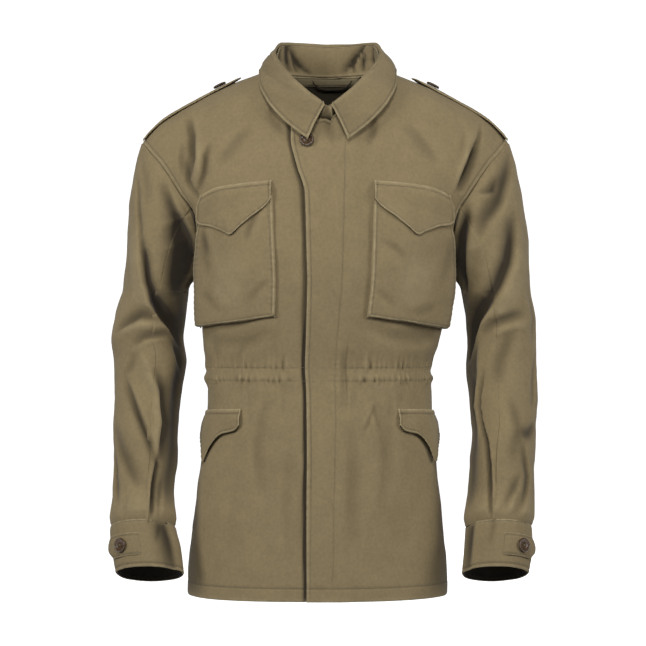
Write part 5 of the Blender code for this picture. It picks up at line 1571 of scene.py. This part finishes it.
FALL_BELLY = 0.0040
FALL_BELLY_UP = 0.5
LEAF_TURN = 2.6
FALL_COLUMNS = 176
FALL_ROLL_ROWS = 10
FALL_ROWS = 36
FALL_SIZE = (0.47, 0.062)
FALL_WAVES = (0.7, 5.0)
FALL_PUCKER = (0.00034, 0.7)
FALL_RIDGE = 0.002
# Painted shade over the whole fall
FALL_SHADE = 0.0015
COLLAR_CREASES = (
    (-88, 20, -62, 48, -0.9, 6, 3, 0.2), (60, 10, 85, 40, -1, 6, 3, 0.2), (-180, 16, -150, 44, -0.9, 7, 3, 0.2),
    (160, 14, 182, 44, -0.9, 7, 3, 0.2),
)
STAND_CELLS = (150, 18)
STAND_SIZE = (0.30, 0.045)
STAND_WAVES = (0.4, 6.0)
STAND_PUCKER = (0.00022, 0.9)
STAND_GAP = (0.0013, 0.0064)
STAND_DROP = (0.0016, 0.0040)
STAND_END = 0.45
STAND_CLOSE = 0.0100
STAND_LAP = 0.0022
STAND_LAP_OUT = 0.004
STAND_ROWS = (0.010, 0.020, 0.030)
# How strongly the stand's hollows are painted as shade
STAND_SHADE = -2.6
STAND_CREASES = (
    (4.2, 5.2, 0.3, -72, 54, -58, 36, -44, 20, -26, 3), (3.6, 4.4, 0, -66, 34, -60, 18, -58, 3),
    (3, 3.6, 0, -48, 24, -44, 12, -43, 2), (4, 5, 0.3, 64, 54, 61, 36, 58, 18, 54, 2),
    (4.2, 5, 0, 60, 44, 47, 26, 36, 13, 22, 2), (3, 3.6, 0, 50, 22, 46, 10, 44, 2),
    (3, 4, 0, -86, 42, -82, 22, -84, 3), (3, 4, 0, 84, 42, 79, 20, 82, 3),
)


def collar_points(kind, place):
    side = np.where(place < 0, -1.0, 1.0)
    at = abs(place)
    if kind == "neck":
        front = at >= SHOULDER_PLACE
        reach = collar("neck_reach", at) * side
        return skin(front, reach, neck_height(front, abs(reach)))
    return points_of(collar(kind + "_x", at) * side + COLLAR_CENTRE, collar(kind + "_y", at), collar(kind + "_z", at))


def fall_shell():
    """The collar's fall: its outer edge is the first row, and its last rows go over the roll to the inside."""
    place = COLLAR_PLACES * (1 - 2 * spaced(FALL_COLUMNS, FALL_SIZE[0]))[None]
    roll, edge = collar_points("roll", place), collar_points("edge", place)
    ahead = ramp(COLLAR_PLACES - LEAF_TURN, COLLAR_PLACES, abs(place))[..., None]
    out = unit(mix(unit((edge - roll) * np.array((1, 1, 0))), np.array((0, -1.0, 0)), ahead))
    down = 1 - spaced(FALL_ROWS, FALL_SIZE[1])[:, None, None]
    belly = unit(out + np.array((0, 0, FALL_BELLY_UP))) * FALL_BELLY * np.sin(math.pi * down)
    leaf = mix(roll + out * ROLL_WIDTH, edge, down) + belly
    turn = np.linspace(0, math.pi, FALL_ROLL_ROWS + 1)[:-1][::-1][:, None, None]
    over = roll + out * ROLL_WIDTH * (1 - np.cos(turn)) / 2 + np.array((0, 0, 1.0)) * ROLL_RISE * np.sin(turn)
    inner = roll - unit(roll - collar_points("neck", place)) * np.array(ROLL_INNER)[:, None, None]
    shell = Shell(np.concatenate([leaf, over, inner]), INSIDE_COLLAR, free="bottom side")
    shell.relief += crease_field(COLLAR_CREASES, shell.across - shell.across[0, -1] / 2, shell.up)
    shell.relief += worn_waves(shell.across, shell.up, *FALL_WAVES)
    seam = np.minimum(shell.to_side, shell.up) - COLLAR_STITCH
    shell.sew(seam, welt=True)
    shell.pucker(seam, shell.across + shell.up, *FALL_PUCKER)
    shell.worn_from = np.minimum(shell.to_edge, abs(shell.up - shell.up[FALL_ROWS]) + FALL_RIDGE)
    # Painted shade over the whole fall, darker still in its troughs
    shell.painted_shading = shell.relief - FALL_SHADE
    return shell


def stand_shell():
    place = COLLAR_PLACES * (1 - 2 * spaced(STAND_CELLS[0], STAND_SIZE[0]))[None]
    neck, roll = collar_points("neck", place), collar_points("roll", place)
    up = unit(roll - neck)
    ahead = ramp(SHOULDER_PLACE, SHOULDER_PLACE + 1, abs(place))
    gap = mix(*STAND_GAP, ahead)[..., None]
    share = spaced(STAND_CELLS[1], STAND_SIZE[1])[:, None, None]
    end = ramp(COLLAR_PLACES - STAND_END, COLLAR_PLACES, abs(place))[..., None]
    points = neck + up * gap + (roll - neck - up * (gap + mix(*STAND_DROP, end))) * share
    side = np.where(place < 0, -1.0, 1.0)[..., None]
    points += end * points_of(-STAND_CLOSE, 0.0, 0.0) * side + end * points_of(0.0, -STAND_LAP, 0.0) * (side < 0)
    shell = Shell(points, INSIDE_COLLAR)
    shell.lap("bottom", out=gap[0, :, 0] + STAND_LAP_OUT * ahead[0], depth=LAP_DEPTH * ahead[0], step=0.0)
    hollows = long_creases(STAND_CREASES, shell.across - shell.across[0, -1] / 2, shell.up)
    shell.relief += hollows + worn_waves(shell.across, shell.up, *STAND_WAVES)
    # Painted shade in the stand's hollows
    shell.painted_shading = STAND_SHADE * hollows
    for row in STAND_ROWS:
        shell.sew(shell.up - row, 0.5)
    shell.pucker(shell.up, shell.across, *STAND_PUCKER)
    return shell


# Shoulder loops
STRAP_INNER = 0.134
STRAP_OUTER = 0.2585
STRAP_HALF_OUTER = 0.0260
STRAP_HALF_INNER = 0.0200
STRAP_POINT = 0.014
STRAP_POINT_SHARE = 0.25
STRAP_PITCH = 0.004
STRAP_INSIDE = (0.19, 0.0, -0.20)
STRAP_LIFT_INNER = 0.0050
STRAP_LIFT_OUTER = 0.0017
STRAP_CELLS = (84, 34)
STRAP_SIZE = (0.13, 0.046)
STRAP_STITCH = 0.0045
STRAP_WAVES = 0.5
STRAP_SEED = 7.0
STRAP_PUCKER = 0.00024


def ridge_points(reach, across):
    """Points over the shoulder seam, across metres behind it."""
    lean = np.where(across > 0, BACK_LEAN, FRONT_LEAN)
    depth = np.where(across > 0, body("back", 0.0), body("front", 0.0))
    rise = (1 - np.minimum(abs(across) / depth, 1.0) ** lean) ** (1 / lean)
    height = height_at(reach, rise)
    return points_of(reach + body("centre", height), across, height)


def strap_points(side, a, b):
    along = mix(STRAP_INNER, STRAP_OUTER, a)
    across = (2 * b - 1) * mix(STRAP_HALF_INNER, STRAP_HALF_OUTER, a)
    along = along - STRAP_POINT * (1 - abs(2 * b - 1)) * (1 - ramp(0.0, STRAP_POINT_SHARE, a))
    point = ridge_points(along * side, across)
    slope = ridge_points((along + STRAP_PITCH) * side, across) - point
    up = unit(points_of(-slope[..., 2] * side, 0.0, slope[..., 0] * side))
    return point + up * np.asarray(mix(STRAP_LIFT_OUTER, STRAP_LIFT_INNER, (1 - a) ** 2))[..., None]


def strap_shell(side):
    a, b = spaced(STRAP_CELLS[0], STRAP_SIZE[0])[None], spaced(STRAP_CELLS[1], STRAP_SIZE[1])[:, None]
    shell = Shell(strap_points(side, a, b), (side * STRAP_INSIDE[0], *STRAP_INSIDE[1:]))
    shell.relief += worn_waves(shell.across, shell.up, STRAP_WAVES, STRAP_SEED + side)
    shell.sew(shell.to_edge - STRAP_STITCH)
    shell.pucker(shell.to_edge, shell.across + shell.up, STRAP_PUCKER, side)
    return shell


# A button's profile as radius and height in millimetres, from its centre over the rim and back under it
BUTTON_PROFILE = (
    (0, 1.8), (3, 1.8), (5.2, 1.9), (6.2, 2.3), (7, 3.1), (7.7, 3.5), (8.5, 3.6), (9.2, 3.4), (9.8, 2.8), (10, 2.2),
    (9.9, 1.4), (9.5, 0.7), (8.8, 0.4), (0, 0.4),
)
BUTTON_STEPS = 56
BUTTON_GAP = 0.0004
BUTTON_FACE = 0.0018
BUTTON_HOLE_OUT = 0.0021
BUTTON_HOLE_RADIUS = 0.0008
BUTTON_HOLE_DEPTH = 0.0012
BUTTON_THREAD_RADIUS = 0.00042
BUTTON_THREAD_RISE = 0.0006
BUTTON_THREAD_SLOPE = 0.32
BUTTON_THREAD_REACH = 1.08
BUTTON_SMOOTH = 40
# How far each button stands off what it is sewn to
NECK_BUTTON_LIFT = 0.0010
STRAP_BUTTON_LIFT = 0.0003
CUFF_BUTTON_LIFT = 0.0004
NECK_BUTTON = (-0.0255, -0.0950)
STRAP_BUTTON_SHARES = (0.11, 0.16, 0.21)
CUFF_BUTTON_TURNS = (45.0, 50.0, 55.0)


def turned_z(degrees):
    return Matrix.Rotation(math.radians(degrees), 4, "Z")


def turned_disc():
    """The button's body, turned round the z axis from its profile."""
    bm = bmesh.new()
    line = [bm.verts.new((radius * MM, 0, height * MM)) for radius, height in BUTTON_PROFILE]
    edges = [bm.edges.new(pair) for pair in zip(line, line[1:])]
    bmesh.ops.spin(
        bm, geom=line + edges, cent=(0, 0, 0), axis=(0, 0, 1), angle=FULL_TURN, steps=BUTTON_STEPS, use_merge=True
    )
    bmesh.ops.remove_doubles(bm, verts=bm.verts[:], dist=1e-6)
    bmesh.ops.recalc_face_normals(bm, faces=bm.faces[:])
    return bm


def add_button(name, seat, normal):
    """A four-hole button with a dished face and a raised rim, and its thread, on a seat."""
    look = bpy.context.scene.jacket_colours
    horn = button_finish("brown_button", look.button)
    place = Matrix.Translation(seat + normal * BUTTON_GAP) @ turned_to(normal)
    made = add_object(name + "_turned", mesh_of(name + "_turned", turned_disc(), horn))
    bm = bmesh.new()
    for turn in (45, 135, 225, 315):
        out = turned_z(turn) @ Matrix.Translation((BUTTON_HOLE_OUT, 0, BUTTON_FACE))
        cone(bm, 16, BUTTON_HOLE_RADIUS, 2 * BUTTON_HOLE_DEPTH, out)
    holes = add_object("holes", mesh_of("holes", bm, horn))
    cut = made.modifiers.new("Holes", "BOOLEAN")
    cut.object = holes
    cut.solver = "EXACT"
    bpy.context.view_layer.update()
    mesh = bpy.data.meshes.new_from_object(made.evaluated_get(bpy.context.evaluated_depsgraph_get()))
    mesh.name = name
    mesh.transform(place)
    mesh.shade_smooth()
    mesh.set_sharp_from_angle(angle=math.radians(BUTTON_SMOOTH))
    for spare in (made, holes):
        bpy.data.objects.remove(spare)
    ride_on(add_object(name + "_face", mesh), "button_brown", name)
    # Two bars of thread that cross between the holes
    bm = bmesh.new()
    for turn in (45, 135):
        for share in (-1, 1):
            middle = (share * BUTTON_HOLE_OUT / 2, 0, BUTTON_FACE + BUTTON_THREAD_RISE / 2)
            lean = Matrix.Rotation(share * BUTTON_THREAD_SLOPE, 4, "Y") @ Matrix.Rotation(math.pi / 2, 4, "Y")
            bar = turned_z(turn) @ Matrix.Translation(middle) @ lean
            cone(bm, 8, BUTTON_THREAD_RADIUS, BUTTON_HOLE_OUT * BUTTON_THREAD_REACH, bar)
    bm.transform(place)
    ride_on(add_object(name + "_thread", mesh_of(name + "_thread", bm, sewing_thread())), "button_brown")


def add_neck_button():
    reach, height = (np.array(value) for value in NECK_BUTTON)
    seat = lifted(True, reach, height, OVERLAP_LIFT + NECK_BUTTON_LIFT)
    add_button("button_neck", Vector(seat), Vector(outward(True, reach, height)))


def add_strap_button(letter):
    side = SIDES[letter]
    first, seat, last = strap_points(side, np.array(STRAP_BUTTON_SHARES), np.full(3, 0.5))
    normal = Vector(((first[2] - last[2]) * side, 0, (last[0] - first[0]) * side)).normalized()
    add_button("button_epaulette_" + letter, Vector(seat) + normal * STRAP_BUTTON_LIFT, normal)


def add_cuff_button(letter):
    turns = np.array(CUFF_BUTTON_TURNS)
    first, middle, last = (Vector(point) for point in ring_points(letter, turns, TAB_HEIGHT, TAB_LIFT))
    above = Vector(ring_points(letter, turns[1], TAB_HEIGHT + TAB_HALF, TAB_LIFT))
    normal = (last - first).cross(above - middle).normalized()
    if normal.dot(middle - Vector(inside_cuff(SIDES[letter]))) < 0:
        normal = -normal
    add_button("button_cuff_" + letter, middle + normal * CUFF_BUTTON_LIFT, normal)


# Inside the back of the neck
BEHIND_NECK = (0, 0.2, 0.0)
FACING_HALF = 0.048
FACING_EDGES = (-0.0020, 0.0102)
FACING_DEPTH = 0.0026
FACING_CELLS = (60, 18)
FACING_SIZE = (0.096, 0.02)
FACING_STITCH = 0.0022
FACING_PUCKER = (0.00018, 0.4)
FACING_MOTTLING = 0.7
LOOP_ENDS = (-0.021, 0.037)
LOOP_TOP = 0.0065
LOOP_SAG = 0.011
LOOP_STAND = 0.0062
LOOP_CROWN = 0.0004
LOOP_CELLS = (60, 10)
LOOP_WIDTH = 0.0042
LOOP_WALL = 0.0013


def facing_shell():
    reach = FACING_HALF * (2 * spaced(FACING_CELLS[0], FACING_SIZE[0]) - 1)[None]
    height = mix(*FACING_EDGES, spaced(FACING_CELLS[1], FACING_SIZE[1]))[:, None]
    shell = Shell(lifted(False, reach, height, -FACING_DEPTH), BEHIND_NECK)
    shell.sew(shell.to_edge - FACING_STITCH)
    shell.pucker(shell.to_edge, shell.across, *FACING_PUCKER)
    return shell


def loop_shell():
    share = np.linspace(0, 1, LOOP_CELLS[0] + 1)[None]
    across = np.linspace(-1, 1, LOOP_CELLS[1] + 1)[:, None]
    height = LOOP_TOP - LOOP_SAG * (1 - (2 * share - 1) ** 4) + LOOP_WIDTH / 2 * across
    stand = LOOP_STAND + LOOP_CROWN * (1 - across**2)
    return Shell(lifted(False, mix(*LOOP_ENDS, share), height, -stand), BEHIND_NECK)


CAMERA_PLACE = (-0.0029, -3.2, -0.3477)
CAMERA_LENS = 124.62
CAMERA_SENSOR = 36.0
FLOOR_DROP = 0.22
SWEEP_HALF_WIDTH = 5.0
SWEEP_FRONT = -6.0
SWEEP_BACK = 4.2
SWEEP_TOP = 4.5
SWEEP_BEND = 1.0
SWEEP_STEPS = 16
PAPER_GLOW = 0.85
PAPER_NOISE = 1.5
PAPER_SHADE = 0.995
# Each light's place, its aim and its size
LIGHTS = {
    "key": ((-2.5, -2.0, 0.55), (0, 0, -0.30), 1.1),
    "front": ((-0.1, -2.9, 1.5), (0, 0, -0.2), 0.8),
    "fill": ((2.85, -1.6, 0.50), (0, 0, -0.30), 1.2),
    "back_light": ((0.7, 3.1, 0.6), (0, 0, -0.3), 1.5),
}


def add_camera():
    data = bpy.data.cameras.new("camera")
    data.lens = CAMERA_LENS
    data.sensor_width = CAMERA_SENSOR
    data.dof.use_dof = False
    made = add_object("camera", data)
    made.location = CAMERA_PLACE
    made.rotation_euler = (math.pi / 2, 0, 0)
    bpy.context.scene.camera = made


def paper_finish(colour):
    made, tree, place = new_material("pale_paper")
    shade = spread(tree, noise(tree, place, PAPER_NOISE), *NOISE_RANGE)
    set_surface(tree, {
        "Base Color": mottled(tree, shade, colour, PAPER_SHADE),
        "Roughness": 1.0,
        "Specular IOR Level": 0.0,
        "Emission Color": (1, 1, 1, 1),
        "Emission Strength": PAPER_GLOW,
    })
    return made


def add_backdrop(colour):
    """A seamless pale floor that bends up into a wall behind the jacket."""
    floor = HEM - FLOOR_DROP
    bend = [
        (SWEEP_BACK - SWEEP_BEND + SWEEP_BEND * math.sin(turn), floor + SWEEP_BEND * (1 - math.cos(turn)))
        for turn in np.linspace(0, math.pi / 2, SWEEP_STEPS + 1)
    ]
    bm = bmesh.new()
    line = [bm.verts.new((-SWEEP_HALF_WIDTH, y, z)) for y, z in [(SWEEP_FRONT, floor), *bend, (SWEEP_BACK, SWEEP_TOP)]]
    edges = [bm.edges.new(pair) for pair in zip(line, line[1:])]
    swept = bmesh.ops.extrude_edge_only(bm, edges=edges)
    ends = [item for item in swept["geom"] if isinstance(item, bmesh.types.BMVert)]
    bmesh.ops.translate(bm, verts=ends, vec=(2 * SWEEP_HALF_WIDTH, 0, 0))
    bmesh.ops.recalc_face_normals(bm, faces=bm.faces[:])
    backdrop = add_object("backdrop", mesh_of("backdrop", bm, paper_finish(colour)))
    backdrop.visible_diffuse = False


def add_light(name, power):
    place, aim, size = LIGHTS[name]
    data = bpy.data.lights.new(name, "AREA")
    data.shape = "SQUARE"
    data.size = size
    data.energy = power
    made = add_object(name, data)
    made.location = place
    made.rotation_euler = (Vector(aim) - Vector(place)).to_track_quat("-Z", "Y").to_euler()


def add_sky(strength):
    world = bpy.data.worlds.new("studio")
    world.use_nodes = True
    background = world.node_tree.nodes["Background"]
    background.inputs["Color"].default_value = (1, 1, 1, 1)
    background.inputs["Strength"].default_value = strength
    bpy.context.scene.world = world


def colour_setting(name, description, default):
    return bpy.props.FloatVectorProperty(
        name=name, description=description, default=default, size=3, min=0.0, max=1.0, subtype="COLOR"
    )


def power_setting(name, description, default):
    return bpy.props.FloatProperty(name=name, description=description, default=default, min=0.0, unit="POWER")


class JacketColours(bpy.types.PropertyGroup):
    olive: colour_setting("Olive", "The cloth's main colour", (0.252, 0.194, 0.102))
    # Worn edges, and ridges as painted highlight, are mixed towards this colour
    worn_and_highlight_olive: colour_setting("Worn olive", "The cloth where edges and ridges are rubbed pale", (0.450, 0.370, 0.215))
    # Painted shade: creases, troughs and stitch grooves are mixed towards this colour; it is also the inner side's
    # pale colour
    painted_shade_olive: colour_setting("Deep olive", "The cloth down in its creases", (0.034, 0.025, 0.0145))
    thread: colour_setting("Thread", "The stitching", (0.190, 0.155, 0.093))
    button: colour_setting("Button", "The buttons", (0.058, 0.033, 0.017))
    # Near black: painted shade for the jacket's inner side and the hanger loop
    inside: colour_setting("Inside", "The inner side of the body and sleeves", (0.040, 0.031, 0.018))
    # The facing strip's tan, made paler as painted light where it sits in the neck's shade
    facing: colour_setting("Facing", "The strip and loop inside the back of the neck", (0.420, 0.335, 0.195))


class JacketStage(bpy.types.PropertyGroup):
    paper: colour_setting("Paper", "The floor and backdrop", (0.93, 0.93, 0.93))
    key_power: power_setting("Key", "The soft light at the left, in front and above", 50.0)
    front_power: power_setting("Front", "The soft light above the camera", 52.0)
    fill_power: power_setting("Fill", "The weaker light at the right", 46.0)
    back_power: power_setting("Back light", "The soft light behind the jacket", 26.0)
    sky: bpy.props.FloatProperty(
        name="Sky", description="How bright the even light from all round is", default=0.07, min=0.0, subtype="FACTOR"
    )


# How strongly each kind of piece's edges are worn, where that is less than the whole
WEAR = {"sleeve": 0.25, "cuff": 0.8, "tab": 0.4, "stand": 0.5, "strap": 0.5, "inside": 0.3}


class JACKET_OT_stage(bpy.types.Operator):
    """Set up the camera, the pale backdrop and the soft lights"""

    bl_idname = "jacket.stage"
    bl_label = "Stage"

    def execute(self, context):
        stage = context.scene.jacket_stage
        add_camera()
        add_backdrop(stage.paper)
        add_light("key", stage.key_power)
        add_light("front", stage.front_power)
        add_light("fill", stage.fill_power)
        add_light("back_light", stage.back_power)
        add_sky(stage.sky)
        context.scene.view_settings.view_transform = "Standard"
        return {"FINISHED"}


class JACKET_OT_body(bpy.types.Operator):
    """Build the back and the two fronts"""

    bl_idname = "jacket.body"
    bl_label = "Body"

    def execute(self, context):
        for name, rests_on in (("back", "collar_stand"), ("front_right", "back"), ("front_left", "back")):
            panel = Panel(name)
            finish_cloth(name, panel, panel.lines(), wall=CLOTH_WALL, lining=inner_shade_finish())
        return {"FINISHED"}


class JACKET_OT_sleeves(bpy.types.Operator):
    """Build the upper and under pieces of both sleeves"""

    bl_idname = "jacket.sleeves"
    bl_label = "Sleeves"

    def execute(self, context):
        for letter, side in SIDES.items():
            for name, (first, last, columns, seed) in SLEEVE_SPANS.items():
                shell = sleeve_shell(letter, first, last, columns, seed + side)
                finish_cloth(
                    name + letter, shell, wear=WEAR["sleeve"], wall=CLOTH_WALL, lining=inner_shade_finish()
                )
        return {"FINISHED"}


class JACKET_OT_cuffs(bpy.types.Operator):
    """Build the cuffs and their tabs"""

    bl_idname = "jacket.cuffs"
    bl_label = "Cuffs"

    def execute(self, context):
        for letter in SIDES:
            cuff, tab = "cuff_" + letter, tab_shell(letter)
            shell = cuff_shell(letter)
            lines = [edge_line(shell, edge, inset) for edge, inset in zip(("bottom", "top"), CUFF_STITCHES)]
            finish_cloth(
                cuff, shell, lines, WEAR["cuff"], CUFF_WALL, lining=inner_shade_finish()
            )
            lines = border_lines(tab, TAB_STITCH, "last bottom top")
            finish_cloth("cuff_tab_" + letter, tab, lines, WEAR["tab"])
        return {"FINISHED"}


class JACKET_OT_pockets(bpy.types.Operator):
    """Build the chest pockets and the chest and hip flaps"""

    bl_idname = "jacket.pockets"
    bl_label = "Pockets"

    def execute(self, context):
        for letter, side in SIDES.items():
            front, pocket, shell = "front_" + LONG_NAMES[letter], "chest_pocket_" + letter, bag_shell(letter)
            finish_cloth(pocket, shell, border_lines(shell, BAG_BORDER, "first last bottom"))
            add_flap("chest_flap_" + letter, chest_flap_points(letter), FLAP_SEEDS["chest"] + side)
            add_flap("hip_flap_" + letter, hip_flap_points(side), FLAP_SEEDS["hip"] + side)
        return {"FINISHED"}


class JACKET_OT_collar(bpy.types.Operator):
    """Build the collar's stand and fall"""

    bl_idname = "jacket.collar"
    bl_label = "Collar"

    def execute(self, context):
        fall, stand = fall_shell(), stand_shell()
        finish_cloth("collar_fall", fall, border_lines(fall, COLLAR_STITCH, "first last bottom"))
        lines = [edge_line(stand, "bottom", row) for row in STAND_ROWS]
        finish_cloth("collar_stand", stand, lines, WEAR["stand"])
        return {"FINISHED"}


class JACKET_OT_straps(bpy.types.Operator):
    """Build the shoulder straps"""

    bl_idname = "jacket.straps"
    bl_label = "Shoulder straps"

    def execute(self, context):
        for letter, side in SIDES.items():
            shell = strap_shell(side)
            lines = border_lines(shell, STRAP_STITCH, "first bottom top")
            finish_cloth("epaulette_" + letter, shell, lines, WEAR["strap"])
        return {"FINISHED"}


class JACKET_OT_neck_inside(bpy.types.Operator):
    """Build the facing strip and the hanger loop inside the neck"""

    bl_idname = "jacket.neck_inside"
    bl_label = "Inside the neck"

    def execute(self, context):
        look, slot = context.scene.jacket_colours, "neck_facing_cotton"
        # The hanger loop takes the inner side's painted shade
        loop = add_shell("hanger_loop_tape", loop_shell(), LOOP_WALL, inner_shade_finish(), WEAR["inside"])
        ride_on(loop, slot, "hanger_loop")
        shell = facing_shell()
        lines = border_lines(shell, FACING_STITCH, "first last bottom")
        # The facing's cotton: its own tan, made paler as painted light
        cotton = cloth_finish("neck_cotton", look.facing, look.worn_and_highlight_olive, look.painted_shade_olive, FACING_MOTTLING)
        finish_cloth("neck_facing", shell, lines, WEAR["inside"], cloth=cotton, slot=slot, extra=[loop])
        return {"FINISHED"}


class JACKET_OT_buttons(bpy.types.Operator):
    """Build the five buttons and their thread"""

    bl_idname = "jacket.buttons"
    bl_label = "Buttons"

    def execute(self, context):
        add_neck_button()
        for letter in SIDES:
            add_strap_button(letter)
            add_cuff_button(letter)
        return {"FINISHED"}


PIECE_OPERATORS = (
    JACKET_OT_stage, JACKET_OT_body, JACKET_OT_sleeves, JACKET_OT_cuffs, JACKET_OT_pockets, JACKET_OT_collar,
    JACKET_OT_straps, JACKET_OT_neck_inside, JACKET_OT_buttons,
)


class VIEW3D_PT_jacket(bpy.types.Panel):
    bl_label = "Field jacket"
    bl_idname = "VIEW3D_PT_jacket"
    bl_space_type = "VIEW_3D"
    bl_region_type = "UI"
    bl_category = "Jacket"

    def draw(self, context):
        layout = self.layout
        for group in (context.scene.jacket_colours, context.scene.jacket_stage):
            for name in group.__annotations__:
                layout.prop(group, name)
        for operator in PIECE_OPERATORS:
            layout.operator(operator.bl_idname)


CLASSES = (JacketColours, JacketStage, *PIECE_OPERATORS, VIEW3D_PT_jacket)


def register():
    for made in CLASSES:
        bpy.utils.register_class(made)
    bpy.types.Scene.jacket_colours = bpy.props.PointerProperty(type=JacketColours)
    bpy.types.Scene.jacket_stage = bpy.props.PointerProperty(type=JacketStage)


def unregister():
    del bpy.types.Scene.jacket_stage
    del bpy.types.Scene.jacket_colours
    for made in reversed(CLASSES):
        bpy.utils.unregister_class(made)


def main():
    register()
    for operator in PIECE_OPERATORS:
        getattr(bpy.ops.jacket, operator.bl_idname.partition(".")[2])()


if __name__ == "__main__":
    main()
